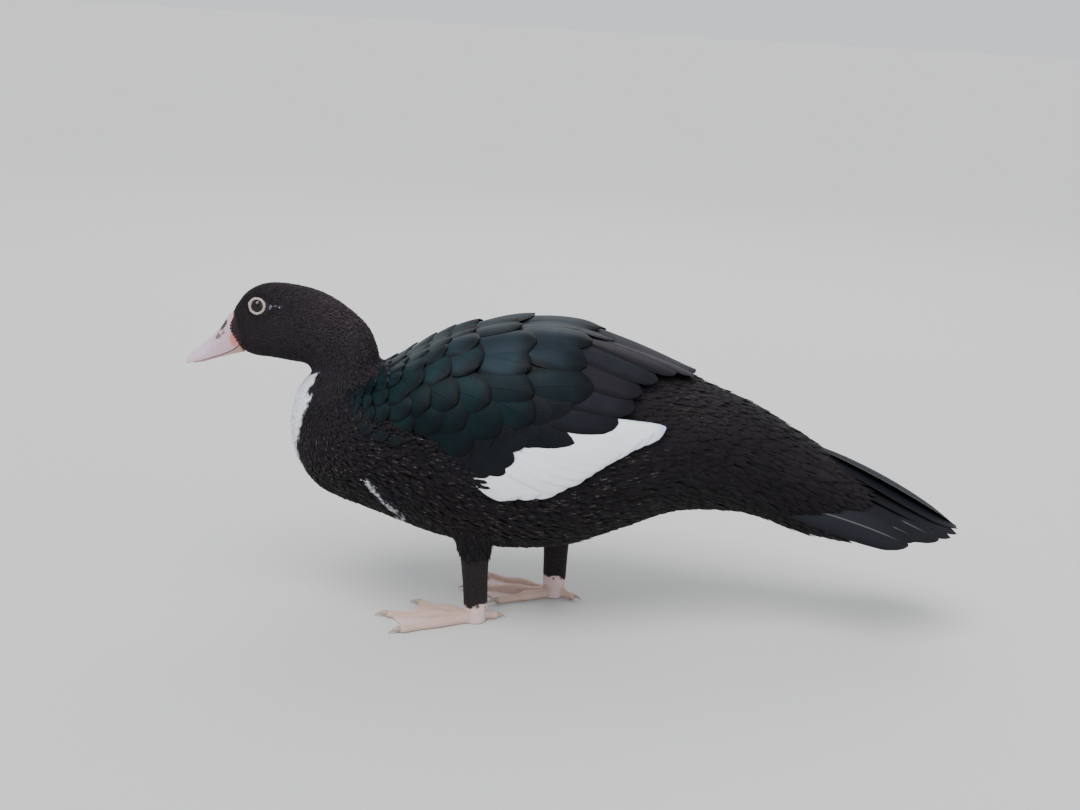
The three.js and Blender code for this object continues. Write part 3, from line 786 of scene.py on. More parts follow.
class Nodes:
    """A node tree with short calls for the nodes that the finishes use."""

    def __init__(self, tree: bpy.types.NodeTree) -> None:
        """Keeps the tree."""
        self.tree = tree

    def put(self, inputs: bpy.types.NodeInputs, values: dict[str | int, object]) -> None:
        """Sets inputs to values, or links them to sockets.

        Args:
            inputs: A node's inputs.
            values: What they get, by name or number.
        """
        for key, value in values.items():
            if isinstance(value, bpy.types.NodeSocket):
                self.tree.links.new(value, inputs[key])
            elif isinstance(value, tuple) and inputs[key].type == "RGBA":
                inputs[key].default_value = (*value, 1.0)
            else:
                inputs[key].default_value = value

    def node(
        self, kind: str, values: dict[str | int, object] | None = None, **settings: object
    ) -> bpy.types.Node:
        """Adds a node.

        Args:
            kind: Its type.
            values: What its inputs get, by name or number.
            settings: Its properties.

        Returns:
            The node.
        """
        made = self.tree.nodes.new(kind)
        for key, value in settings.items():
            setattr(made, key, value)
        self.put(made.inputs, values or {})
        return made

    def math(self, operation: str, a: object, b: object = 0.0, clamp: bool = False) -> Socket:
        """One step of arithmetic on two numbers."""
        return self.node("ShaderNodeMath", {0: a, 1: b}, operation=operation, use_clamp=clamp).outputs[0]

    def times(self, a: object, b: object) -> Socket:
        """The product of two numbers."""
        return self.math("MULTIPLY", a, b)

    def plus(self, a: object, b: object, clamp: bool = False) -> Socket:
        """The sum of two numbers."""
        return self.math("ADD", a, b, clamp)

    def rest(self, a: object) -> Socket:
        """What a share leaves of the whole."""
        return self.math("SUBTRACT", 1.0, a, True)

    def ease(self, value: object, low: float, high: float) -> Socket:
        """0 below low and 1 above high, eased between them."""
        ends = {"Value": value, "From Min": low, "From Max": high}
        return self.node("ShaderNodeMapRange", ends, interpolation_type="SMOOTHSTEP").outputs["Result"]

    def scale(self, value: object, low: float, high: float) -> Socket:
        """A number from 0 to 1 as one from low to high."""
        made = self.node("ShaderNodeMapRange", {"Value": value, "To Min": low, "To Max": high})
        return made.outputs["Result"]

    def mix(self, share: object, a: object, b: object) -> Socket:
        """A colour between two colours."""
        made = self.node("ShaderNodeMix", {0: share, 6: a, 7: b}, data_type="RGBA", clamp_factor=True)
        return made.outputs[2]

    def noise(self, size: float, detail: float = 3.0) -> Socket:
        """Noise whose patches are about `size` metres across."""
        values = {"Scale": 1 / size, "Detail": detail, "Vector": self.place()}
        return self.node("ShaderNodeTexNoise", values).outputs["Fac"]

    def mottled(self, size: float, a: Colour, b: Colour, detail: float = 4.0) -> Socket:
        """Two colours in patches about `size` metres across."""
        return self.mix(self.noise(size, detail), a, b)

    def uneven(self, size: float, low: float, high: float) -> Socket:
        """A number that varies between low and high in patches about `size` metres across."""
        return self.scale(self.noise(size), low, high)

    def cells(self, size: float, along: float = 1.0) -> Socket:
        """The distance to the edge of cells.

        Args:
            size: About how many metres across they are.
            along: How much flatter they are in Z.

        Returns:
            The distance.
        """
        place = self.node("ShaderNodeMapping", {"Scale": (1.0, 1.0, along), "Vector": self.place()})
        values = {"Scale": 1 / size, "Vector": place.outputs["Vector"]}
        return self.node("ShaderNodeTexVoronoi", values, feature="DISTANCE_TO_EDGE").outputs["Distance"]

    def place(self) -> Socket:
        """The place on the piece."""
        return self.node("ShaderNodeTexCoord").outputs["Object"]

    def axes(self, place: Socket) -> list[Socket]:
        """The X, Y and Z of a place."""
        return list(self.node("ShaderNodeSeparateXYZ", {0: place}).outputs)

    def value(self, name: str) -> Socket:
        """A number kept on the mesh."""
        return self.node("ShaderNodeAttribute", attribute_name=name).outputs["Fac"]

    def bump(self, height: object, distance: float) -> Socket:
        """A normal raised by a height."""
        return self.node("ShaderNodeBump", {"Distance": distance, "Height": height}).outputs["Normal"]

    def spot(self, centre: tuple[float, float], wide: float, high: float, turn: float) -> Socket:
        """A soft oval seen from the side.

        Args:
            centre: Its middle as (x, z), in the maker's frame.
            wide: Half its length.
            high: Half its width.
            turn: How far its length is turned up from X.

        Returns:
            1 in the middle and 0 outside.
        """
        x, _, z = self.axes(self.place())
        cos, sin = math.cos(turn), math.sin(turn)
        dx, dz = self.math("SUBTRACT", x, centre[0] + SHIFT), self.math("SUBTRACT", z, centre[1])
        along = self.plus(self.times(dx, cos), self.times(dz, sin))
        across = self.math("SUBTRACT", self.times(dz, cos), self.times(dx, sin))
        a, b = (self.math("DIVIDE", part, half) for part, half in ((along, wide), (across, high)))
        return self.ease(self.math("SQRT", self.plus(self.times(a, a), self.times(b, b))), 1.0, 0.45)


@cache
def vane_pattern() -> bpy.types.NodeTree:
    """The pattern of one feather's vane, shared by every feather finish.

    Returns:
        A group that turns the place on the vane into its shaft, rim, tip and barbs.
    """
    group = bpy.data.node_groups.new("vane_pattern", "ShaderNodeTree")
    group.interface.new_socket(name="Place", in_out="INPUT", socket_type="NodeSocketVector")
    for name, value in (("Barbs", 60.0), ("Shaft", 0.06)):
        socket = group.interface.new_socket(name=name, in_out="INPUT", socket_type="NodeSocketFloat")
        socket.default_value = value
    n = Nodes(group)
    given = n.node("NodeGroupInput").outputs
    u, v, _ = n.axes(given["Place"])
    across = n.math("ABSOLUTE", n.math("SUBTRACT", n.times(u, 2.0), 1.0))
    shaft = n.times(n.rest(n.math("DIVIDE", across, given["Shaft"])), n.ease(v, 0.97, 0.8))
    waves = n.math("SINE", n.times(n.plus(v, n.times(across, -0.35)), given["Barbs"]))
    sockets = {
        "Shaft": shaft,
        "Rim": n.math("MAXIMUM", n.ease(across, 0.6, 1.0), n.ease(v, 0.72, 1.0)),
        "Dash": n.times(n.ease(v, 0.62, 0.9), n.ease(across, 0.55, 0.1)),
        "Height": n.plus(n.times(waves, 0.25), n.times(shaft, 1.6)),
    }
    for name in sockets:
        group.interface.new_socket(name=name, in_out="OUTPUT", socket_type="NodeSocketFloat")
    n.node("NodeGroupOutput", sockets)
    return group


@dataclass(frozen=True)
class Finish:
    """What the surface of a piece looks like."""

    name: str

    def paint(self, n: Nodes) -> dict[str, object]:
        """What the surface shader's inputs get; each finish gives its own."""
        raise NotImplementedError


@cache
def material_of(finish: Finish) -> bpy.types.Material:
    """Makes a finish's material, once.

    Args:
        finish: The finish.

    Returns:
        The material.
    """
    made = bpy.data.materials.new(finish.name)
    made.use_nodes = True
    n = Nodes(made.node_tree)
    n.put(made.node_tree.nodes["Principled BSDF"].inputs, finish.paint(n))
    return made


@dataclass(frozen=True)
class FeatherFinish(Finish):
    """How feathers of one kind look."""

    dark: Colour
    light: Colour
    sheen: Colour
    second_sheen: Colour
    rim: Colour
    pale: Colour = (0.86, 0.875, 0.92)
    pale_painted_shade: Colour = (0.5, 0.53, 0.66)
    fleck: Colour = (0.15, 0.135, 0.13)
    shaft: Colour = (0.03, 0.027, 0.028)
    shaft_share: float = 0.35
    roughness: tuple[float, float] = (0.42, 0.62)
    metallic: float = 0.0
    barbs: float = 90.0
    barb_height: float = 0.00012
    specular: float = 0.5
    soft: float = 0.0

    def paint(self, n: Nodes) -> dict[str, object]:
        """Paints by the vane map and the values on the mesh.

        Args:
            n: The material's nodes.

        Returns:
            What the shader's inputs get.
        """
        values = {"Place": n.node("ShaderNodeUVMap", uv_map=VANE_MAP).outputs["UV"], "Barbs": self.barbs}
        pattern = n.node("ShaderNodeGroup", values, node_tree=vane_pattern()).outputs
        rim, pale = pattern["Rim"], n.value("pale")
        tone = n.plus(n.value("tone"), n.scale(n.noise(0.012, 4.0), -0.35, 0.35), True)
        # Painted sheen: the sheen and second sheen colours, mixed by the hue value, stand for the feathers'
        # coloured reflection and are painted into the base colour inside each vane, not on its rim.
        vane_painted_sheen = n.mix(n.value("hue"), self.sheen, self.second_sheen)
        colour = n.mix(tone, self.dark, self.light)
        colour = n.mix(n.times(n.rest(rim), n.scale(tone, 0.3, 1.0)), colour, vane_painted_sheen)
        # Each vane's rim takes the rim colour: partly a real paler or darker fringe, and on the wing coverts
        # partly painted shade where each feather's edge lies over the next.
        colour = n.mix(n.times(rim, n.scale(tone, 0.3, 0.75)), colour, self.rim)
        colour = n.mix(n.times(pattern["Shaft"], self.shaft_share), colour, self.shaft)
        flecks = n.times(n.value("fleck"), n.ease(n.noise(0.0011, 2.0), 0.42, 0.62))
        colour = n.mix(n.times(flecks, pattern["Dash"]), colour, self.fleck)
        # Painted shade on white feathers: a bluish shade in soft patches and along each vane's rim, where it
        # lies over the next.
        pale_with_painted_shade = n.mix(n.uneven(0.02, 0.0, 0.3), self.pale, self.pale_painted_shade)
        pale_with_painted_shade = n.mix(n.times(n.math("POWER", rim, 4.0), 0.75), pale_with_painted_shade, self.pale_painted_shade)
        rough = n.plus(n.noise(0.006, 2.0), n.times(pale, 0.4), True)
        return {
            "Base Color": n.mix(pale, colour, pale_with_painted_shade),
            "Roughness": n.scale(rough, *self.roughness),
            "Metallic": n.times(n.times(n.rest(rim), n.rest(pale)), self.metallic) if self.metallic else 0.0,
            "Normal": n.bump(pattern["Height"], self.barb_height),
            "Specular IOR Level": self.specular,
            "Sheen Weight": self.soft,
            "Sheen Roughness": 0.45,
        }


@dataclass(frozen=True)
class DownFinish(Finish):
    """The down-covered skin between the feathers."""

    name: str = "skin_under_plumage"
    dark: Colour = (0.0055, 0.0045, 0.005)
    light: Colour = (0.013, 0.0105, 0.0115)
    pale: Colour = (0.62, 0.62, 0.66)

    def paint(self, n: Nodes) -> dict[str, object]:
        """Paints it dark and mottled, and whitish where the mesh says so.

        Args:
            n: The material's nodes.

        Returns:
            What the shader's inputs get.
        """
        return {
            "Base Color": n.mix(n.value("pale"), n.mottled(0.003, self.dark, self.light, 3.0), self.pale),
            "Roughness": n.uneven(0.002, 0.7, 0.9),
            "Normal": n.bump(n.noise(0.0012), 0.0005),
        }


HEAD_FINISH = FeatherFinish(
    "head_plumage", dark=(0.008, 0.0062, 0.0078), light=(0.052, 0.042, 0.05),
    sheen=(0.0185, 0.0142, 0.0175), second_sheen=(0.082, 0.05, 0.064), rim=(0.033, 0.0262, 0.0312),
    fleck=(0.1, 0.09, 0.088), roughness=(0.6, 0.8), barbs=20.0, barb_height=0.00002, specular=0.15, soft=0.04,
)
NECK_FINISH = replace(
    HEAD_FINISH, name="neck_plumage", dark=(0.006, 0.0046, 0.0058), light=(0.036, 0.029, 0.034),
    sheen=(0.0135, 0.0105, 0.0128), rim=(0.0215, 0.017, 0.0203),
)
BODY_FINISH = FeatherFinish(
    "body_plumage", dark=(0.004, 0.003, 0.0038), light=(0.015, 0.0105, 0.013),
    sheen=(0.007, 0.005, 0.0064), second_sheen=(0.0085, 0.008, 0.0115), rim=(0.0095, 0.0068, 0.008),
    roughness=(0.55, 0.75), barbs=55.0, barb_height=0.00004, specular=0.13, soft=0.02,
)
COVERT_FINISH = FeatherFinish(
    "wing_coverts", dark=(0.0025, 0.004, 0.0055), light=(0.006, 0.009, 0.011), sheen=(0.0045, 0.024, 0.027),
    second_sheen=(0.018, 0.027, 0.04), rim=(0.0022, 0.0028, 0.0042), shaft=(0.004, 0.006, 0.007),
    roughness=(0.4, 0.58), metallic=0.3, barbs=110.0, barb_height=0.00006, specular=0.1,
)
QUILL_FINISH = FeatherFinish(
    "wing_quills", dark=(0.005, 0.005, 0.007), light=(0.01, 0.01, 0.013), sheen=(0.01, 0.017, 0.029),
    second_sheen=(0.0175, 0.013, 0.017), rim=(0.005, 0.005, 0.0065), pale=(0.93, 0.94, 0.97),
    pale_painted_shade=(0.38, 0.42, 0.56), shaft=(0.02, 0.018, 0.019), roughness=(0.45, 0.6), metallic=0.1,
    barbs=260.0, barb_height=0.00006, specular=0.1,
)
TAIL_FINISH = FeatherFinish(
    "tail_quills", dark=(0.0038, 0.004, 0.0055), light=(0.008, 0.0085, 0.012), sheen=(0.007, 0.009, 0.015),
    second_sheen=(0.0095, 0.0078, 0.0095), rim=(0.0048, 0.0045, 0.0055), shaft=(0.11, 0.1, 0.1),
    shaft_share=0.9, roughness=(0.42, 0.58), metallic=0.1, barbs=320.0, barb_height=0.00007, specular=0.13,
)
DARK_FINISH = FeatherFinish(
    "wing_lower_coverts", dark=(0.003, 0.0042, 0.0058), light=(0.006, 0.008, 0.01),
    sheen=(0.0055, 0.0095, 0.0135), second_sheen=(0.006, 0.028, 0.036), rim=(0.003, 0.0038, 0.0052),
    shaft=(0.006, 0.008, 0.009), roughness=(0.42, 0.6), metallic=0.25, barbs=110.0, barb_height=0.00006,
    specular=0.16,
)


def dress(piece: Piece, finish: Finish) -> None:
    """Gives a piece its finish, lets it ride on the duck and reports it.

    Args:
        piece: The piece, in place.
        finish: Its finish.
    """
    piece.data.materials.append(material_of(finish))
    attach(piece, BODY)
    LOG.info("%s: %d triangles", piece.name, sum(len(face.vertices) - 2 for face in piece.data.polygons))


def grid(bm: bmesh.types.BMesh, columns: int, rows: int) -> tuple[list[bmesh.types.BMVert], Array, Array]:
    """Adds a flat grid that is to be rolled up.

    Args:
        bm: The bmesh.
        columns: Faces round it.
        rows: Faces along it.

    Returns:
        Its vertices, with the share along and the angle round it of each.
    """
    made = bmesh.ops.create_grid(bm, x_segments=columns, y_segments=rows, size=0.5)["verts"]
    flat = np.array([v.co for v in made])
    return made, flat[:, 1] + 0.5, flat[:, 0] * FULL_TURN


def roll_up(
    bm: bmesh.types.BMesh, made: list[bmesh.types.BMVert], points: Array, near: float = 1e-6,
    capped: bool = True,
) -> None:
    """Moves a grid to its points, closes its seam and turns its faces outwards.

    Args:
        bm: The bmesh.
        made: The grid's vertices.
        points: Where they go.
        near: Vertices of the seam that are nearer than this are merged.
        capped: Whether its open ends are filled.
    """
    for vertex, point in zip(made, points):
        vertex.co = point
    bmesh.ops.remove_doubles(bm, verts=[v for v in reversed(made) if v.is_boundary], dist=near)
    if capped:
        bmesh.ops.holes_fill(bm, edges=[e for e in bm.edges if e.is_boundary], sides=0)
    bmesh.ops.recalc_face_normals(bm, faces=bm.faces)


def tube(bm: bmesh.types.BMesh, columns: int, rows: int, place: Callable[[Array, Array], Array]) -> None:
    """Adds a closed tube, with points given by shares along and angles round it."""
    made, share, angle = grid(bm, columns, rows)
    roll_up(bm, made, place(share, angle))


def piece_from(name: str, bm: bmesh.types.BMesh) -> Piece:
    """Turns a bmesh in the maker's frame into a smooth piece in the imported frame.

    Args:
        name: The piece's name.
        bm: The bmesh, which is freed.

    Returns:
        The piece, linked to the scene.
    """
    bmesh.ops.translate(bm, verts=bm.verts, vec=(SHIFT, 0, 0))
    mesh = bpy.data.meshes.new(name)
    bm.to_mesh(mesh)
    bm.free()
    mesh.shade_smooth()
    return linked(name, mesh)


@dataclass
class Skin:
    """The skin under the feathers, from the brow to the root of the tail, with the flesh of the wings."""

    body: BodyForm
    wing: WingForm
    markings: Markings
    cover: Pairs = (
        (0, 0.0006), (2, 0.0011), (5, 0.0019), (8, 0.0028), (12, 0.0034), (18, 0.004), (22, 0.005),
    )
    end: float = 21.6
    tail_from: float = 18.5
    tail_drop: float = 0.009
    least: float = 0.001
    columns: int = 120
    rows: int = 260

    def drop(self, t: Array) -> Array:
        """How much thinner the flesh of the tail is than the feathered tail."""
        return self.tail_drop * np.clip((t - self.tail_from) / (self.end - self.tail_from), 0, 1) ** 2

    def out(self, t: Array, angle: Array) -> Array:
        """How far the skin lies over the body's surface.

        Args:
            t: Place along the body, in stations.
            angle: Angle from the middle of the back.

        Returns:
            The heights, which are below 0 away from the wings.
        """
        x, degrees, cover = self.body.point(t, angle)[..., 0], from_back(angle), read(self.cover, t)
        inside = self.wing.inside(x, degrees) * (t > self.body.wing_from)
        flesh = self.wing.clear + self.wing.depth(x, degrees) - self.wing.flesh_drop
        return -cover - self.drop(t) + inside * (np.maximum(flesh, self.least) + cover - self.least)

    def build(self) -> None:
        """Makes the skin as one closed mesh."""
        bm = bmesh.new()
        pale, bake = bm.verts.layers.float.new("pale"), bm.loops.layers.uv.new(BAKE_MAP)
        made, share, angle = grid(bm, self.columns, self.rows)
        for face in bm.faces:
            for loop in face.loops:
                loop[bake].uv = (loop.vert.co.x + 0.5, loop.vert.co.y + 0.5)
        t = share * self.end
        for vertex, white in zip(made, self.markings.pale(t, angle)):
            vertex[pale] = white
        roll_up(bm, made, self.body.point(t, angle, self.out(t, angle)))
        skin = piece_from("skin", bm)
        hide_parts("head", "neck", "torso", "tail", "wing_left", "wing_right")
        dress(skin, DownFinish())


@dataclass
class BodyPlumage:
    """The small feathers of head, neck, breast, flanks, belly, back and rump.

    A table's rows are (station, value). A zone has a start and a rise, and where it ends again an end
    and a fall; zones called side are measured from the middle of the back. A region has its name, its
    first and last station and its seed.
    """

    body: BodyForm
    wing: WingForm
    skin: Skin
    markings: Markings
    gap: Pairs = (
        (0, 0.0006), (1, 0.00066), (3, 0.00078), (5, 0.00086), (7, 0.00095), (8.5, 0.00135), (10, 0.0019),
        (12, 0.0026), (14, 0.0029), (17, 0.003), (19, 0.0031), (21.6, 0.0036),
    )
    gap_above: float = 0.12
    length: Pairs = (
        (0, 0.0019), (1, 0.0025), (3, 0.0036), (5, 0.0052), (7, 0.0064), (8.5, 0.0084), (10, 0.0108),
        (12, 0.0145), (14, 0.018), (17, 0.022), (19, 0.029), (21.6, 0.036),
    )
    half: Pairs = (
        (0, 0.00038), (1, 0.00044), (3, 0.00058), (5, 0.00072), (7, 0.00095), (8.5, 0.0013), (10, 0.0018),
        (12, 0.0023), (14, 0.0026), (17, 0.0028), (19, 0.003), (21.6, 0.0034),
    )
    stand: Pairs = (
        (0, 0.0001), (1, 0.00018), (3, 0.0002), (5, 0.00025), (8.5, 0.0003), (12, 0.0004), (18, 0.0006),
        (21.6, 0.001),
    )
    regions: tuple = (
        ("coat_head", 0.05, 3.0, 11), ("coat_nape", 3.0, 5.8, 12), ("coat_neck", 5.8, 8.4, 13),
        ("coat_throat", 8.4, 10.2, 17), ("coat_breast", 10.2, 12.9, 14), ("coat_flank", 12.9, 16.8, 15),
        ("coat_rump", 16.8, 21.5, 16),
    )
    head_end: float = 6.0
    tuft_end: float = 9.0
    shade: Pairs = ((4.4, 0.0), (5.79, -0.35), (5.81, 0.2), (8.39, -0.45), (8.41, 0.45), (10.3, 0.0))
    crest: tuple = (3.2, 1.2, 6.8, 1.4)
    crest_side: tuple = (1.1, -0.8)
    crest_long: float = 0.5
    crest_out: float = 0.0009
    hind: tuple = (3.3, 1.0, 7.8, 1.0)
    hind_side: tuple = (1.3, -0.9)
    hind_share: tuple = (0.35, 0.8)
    cheek: tuple = (0.5, 0.6, 3.4, 1.4)
    cheek_side: tuple = (62, 30, 135, 25)
    cheek_painted_sheen: float = 0.36
    crown: tuple = (2.6, -1.2)
    crown_side: tuple = (60, -30)
    crown_dark: float = 0.22
    fleck: tuple = (8.6, 1.5, 17.0, 2.0)
    fleck_side: tuple = (1.2, 0.5)
    fleck_share: float = 0.3
    grey_at: tuple[float, float] = (17.0, 44.0)
    grey_half: tuple[float, float] = (0.9, 24.0)
    eye_clear: float = 0.0078
    eye_out: float = 1.35
    eye_ring: float = 0.006
    tuck_x: float = -0.052
    tuck_side: tuple[float, float] = (12.0, 4.0)
    tuck_rear: Pairs = (
        (12, 0.1), (25, 0.075), (40, 0.058), (62, 0.04), (68, 0.08), (80, 0.06), (92, 0.02), (104, -0.02),
    )
    fan_from: Pairs = ((0, 20.9), (40, 20.8), (80, 20.5), (128, 20.3))
    fore: tuple = (-0.165, 0.02, -0.036, 0.02)
    fore_side: tuple = (-14, 8, 12, 10)
    fore_out: float = 0.0042

    def spacing(self, t: Array, angle: Array) -> Array:
        """The distance between roots."""
        return read(self.gap, t) * (1 + self.gap_above * np.cos(angle))

    def roots(self, start: float, end: float, seed: int) -> Roots:
        """Chooses the roots of one region.

        Args:
            start: Where the region begins, in stations.
            end: Where it ends.
            seed: Seeds the draw.

        Returns:
            The roots that neither an eye nor a wing covers.
        """
        t, angle = spread(self.body, start, end, self.spacing, seed)
        points, degrees = self.body.point(t, angle), from_back(angle)
        x = points[:, 0]
        eyes = [np.array((EYE.x, s.value * EYE.y * self.eye_out, EYE.z)) for s in Side]
        away = np.minimum(*(np.linalg.norm(points - eye, axis=-1) for eye in eyes)) - self.eye_clear
        tucked = (degrees < read(self.wing.lower, x) - self.tuck_side[1]) & (degrees > self.tuck_side[0])
        tucked &= (x > self.tuck_x) & (x < read(self.tuck_rear, degrees))
        covered = (self.wing.inside(x, degrees) > 0.55) | tucked
        fan = (t > read(self.fan_from, degrees)) & (degrees < self.fan_from[-1][0])
        kept = (away > 0) & ~(covered & (t > self.body.wing_from + 1)) & ~fan
        t, angle = t[kept], angle[kept]
        draw = np.random.default_rng(seed + 100)
        size = draw.normal(1, 0.09, len(t)) * (0.6 + 0.4 * np.clip(away[kept] / self.eye_ring, 0, 1))
        crest = within(t, *self.crest) * above(np.abs(angle), *self.crest_side)
        turn, stand = draw.normal(0, 0.1, len(t)), read(self.stand, t) * draw.normal(1, 0.6, len(t))
        return Roots(
            t, angle, length=read(self.length, t) * size * (1 + self.crest_long * crest),
            half=read(self.half, t) * size, turn=turn, root_out=self.skin.out(t, angle) - 0.0004,
            tip_out=self.tip_out(t, angle) + stand + self.crest_out * crest,
        )

    def tip_out(self, t: Array, angle: Array) -> Array:
        """The height of the feathers' tips, which rises over the lower edge of the wing's front.

        Args:
            t: Place along the body, in stations.
            angle: Angle from the middle of the back.

        Returns:
            The heights.
        """
        x = self.body.point(t, angle)[..., 0]
        over = within(from_back(angle) - read(self.wing.lower, x), *self.fore_side)
        return self.fore_out * over * within(x, *self.fore) - 0.8 * self.skin.drop(t)

    def flecks(self, t: Array, angle: Array, draw: np.random.Generator) -> Array:
        """Draws the pale flecks of the underside and the grey ones behind the wings.

        Args:
            t: The roots' stations.
            angle: Their angles from the middle of the back.
            draw: The region's generator.

        Returns:
            How flecked each feather is, from 0 to 1.
        """
        amount = len(t)
        chance = self.fleck_share * above(np.abs(angle), *self.fleck_side) * within(t, *self.fleck)
        fleck = (draw.uniform(0, 1, amount) < chance) * draw.uniform(0.2, 1, amount)
        middle, half = self.grey_at, self.grey_half
        off = np.hypot((t - middle[0]) / half[0], (from_back(angle) - middle[1]) / half[1])
        return np.maximum(fleck, smooth(1.3 - off) * draw.uniform(0.05, 0.4, amount))

    def tone(self, t: Array, angle: Array) -> Array:
        """How much lighter the feathers are than their finish's middle.

        Args:
            t: The roots' stations.
            angle: Their angles from the middle of the back.

        Returns:
            Cheeks lighter with painted sheen, a darker crown, and what hides the step from one finish to the
            next.
        """
        side = from_back(angle)
        # Painted sheen: the lower cheeks are made lighter.
        cheek = self.cheek_painted_sheen * within(side, *self.cheek_side) * within(t, *self.cheek)
        crown = self.crown_dark * above(side, *self.crown_side) * above(t, *self.crown)
        return read(self.shade, t) + cheek - crown

    def build(self) -> None:
        """Makes every region's coat."""
        for name, start, end, seed in self.regions:
            roots = self.roots(start, end, seed)
            tufts, amount = end < self.tuft_end, len(roots.t)
            cut = TUFT if tufts else SOFT
            draw = np.random.default_rng(seed + 200)
            rings, t, angle = lay(self.body, roots, cut)
            fleck = self.flecks(roots.t, roots.angle, draw)
            tone = shares(draw, 0.4 + self.tone(roots.t, roots.angle), 0.28, amount)
            loose = [draw.normal(0, far, (amount, 1, 1)) for far in (0.03, 0.02)]
            hue = draw.uniform(0, 1, amount)
            if tufts:
                # Painted sheen: some tufts of the hind neck and crest take the light violet-brown second
                # sheen, which also stands for the rim light along the back of the neck.
                hind = within(roots.t, *self.hind) * above(np.abs(roots.angle), *self.hind_side)
                hue = (hue < self.hind_share[0]) * hind * self.hind_share[1]
            coat = Coat(name)
            places = unwrapped(round_share(roots.angle), (roots.t - start) / (end - start))
            pale = self.markings.pale(t + loose[0], angle + loose[1])
            coat.add(rings, cut, places, tone=tone, pale=pale, fleck=fleck, hue=hue)
            finish = HEAD_FINISH if end < self.head_end else NECK_FINISH if tufts else BODY_FINISH
            dress(coat.build(), finish)


def back_from(form: Form, t: Array, angle: Array, length: Array, turn: Array, steps: int = 6) -> tuple:
    """Walks back from feathers' tips to their roots.

    Args:
        form: The surface.
        t: The tips' first parameter.
        angle: The tips' second parameter.
        length: How far to walk.
        turn: The feathers' heading on the surface.
        steps: How many steps it takes.

    Returns:
        The roots' two parameters.
    """
    for _ in range(steps):
        along, around = form.grip(t, angle)
        t = t - length / steps * np.cos(turn) / along
        angle = angle - length / steps * np.sin(turn) / around
    return t, angle


@dataclass(frozen=True)
class VaneRow:
    """One row of wing feathers: its tips as (x, degrees), and ranges from its first to its last tip."""

    tips: tuple[tuple[float, float], ...]
    pitch: float
    length: tuple[float, float]
    half: tuple[float, float]
    turn: tuple[float, float] = (5.0, 10.0)
    lift: tuple[float, float] = (0.0006, 0.0006)
    sink: float = 0.0045
    hue: float = 0.1
    tone: float = 0.5
    loose: float = 1.0


COVERT_ROWS = (
    VaneRow(((-0.1525, 24), (-0.1545, 50), (-0.1535, 70)), 0.008, (0.018, 0.018), (0.0064, 0.0064),
            tone=0.25),
    VaneRow(((-0.1455, 16), (-0.149, 56), (-0.146, 71)), 0.01, (0.021, 0.021), (0.0078, 0.0078)),
    VaneRow(((-0.138, 8), (-0.1423, 43), (-0.1402, 52), (-0.134, 72)), 0.012, (0.025, 0.025), (0.0095, 0.01),
            turn=(5, 14)),
    VaneRow(((-0.13, 5), (-0.133, 19), (-0.1284, 46), (-0.1195, 73)), 0.015, (0.029, 0.03), (0.0115, 0.0125),
            turn=(6, 20)),
    VaneRow(((-0.1176, 4), (-0.1159, 46), (-0.102, 75)), 0.018, (0.035, 0.036), (0.0135, 0.015),
            turn=(8, 26)),
    VaneRow(((-0.102, 3), (-0.0962, 49), (-0.0775, 77)), 0.021, (0.043, 0.043), (0.0155, 0.0175),
            turn=(10, 32), loose=1.4),
    VaneRow(((-0.0801, 3), (-0.0748, 50), (-0.0545, 81)), 0.024, (0.05, 0.048), (0.0175, 0.019),
            turn=(10, 36), hue=0.2, loose=1.7),
    VaneRow(((-0.056, 3), (-0.0498, 50), (-0.031, 79)), 0.026, (0.056, 0.052), (0.019, 0.019), turn=(10, 36),
            hue=0.3, loose=2.2),
    VaneRow(((-0.02, 3), (-0.011, 20), (-0.008, 57), (-0.008, 67)), 0.021, (0.076, 0.06), (0.0195, 0.019),
            turn=(6, 28), hue=0.6, loose=3.0),
    VaneRow(((0.04, 3), (0.048, 18), (0.045, 38), (0.029, 55)), 0.021, (0.094, 0.072), (0.019, 0.018),
            turn=(4, 22), lift=(0.0004, 0.0002), hue=0.9, loose=4.5),
)
SHOULDER_ROWS = (
    VaneRow(((-0.164, 34), (-0.165, 50), (-0.164, 70)), 0.0055, (0.012, 0.012), (0.0042, 0.0042), hue=0.0),
    VaneRow(((-0.1585, 28), (-0.159, 50), (-0.1585, 73)), 0.0065, (0.014, 0.014), (0.005, 0.005), hue=0.1),
    VaneRow(((-0.156, 68), (-0.14, 77), (-0.11, 80)), 0.008, (0.018, 0.026), (0.006, 0.009), hue=0.1),
)
DARK_ROWS = (
    VaneRow(((-0.06, 84), (-0.0471, 80), (-0.03, 74), (-0.012, 70), (0.0016, 66), (0.02, 60),
             (0.036, 57)), 0.019, (0.05, 0.052), (0.016, 0.016), turn=(18, -4), lift=(-0.0004, -0.0008),
            hue=0.0),
    VaneRow(((-0.04, 90), (-0.027, 89.5), (-0.016, 82), (-0.006, 72), (0.03, 76), (0.042, 72),
             (0.054, 65)), 0.015, (0.056, 0.06), (0.0135, 0.0135), turn=(20, -6), lift=(-0.0008, -0.0018),
            hue=0.3),
)


@dataclass(frozen=True)
class QuillRow:
    """A row of long quills between the lines of their roots and tips, as (x, degrees)."""

    roots: tuple[tuple[float, float], ...]
    tips: tuple[tuple[float, float], ...]
    count: int
    half: tuple[float, float]
    lift: tuple[float, float]
    roll: float
    pale: float
    hue: float
    skew: float = 0.0


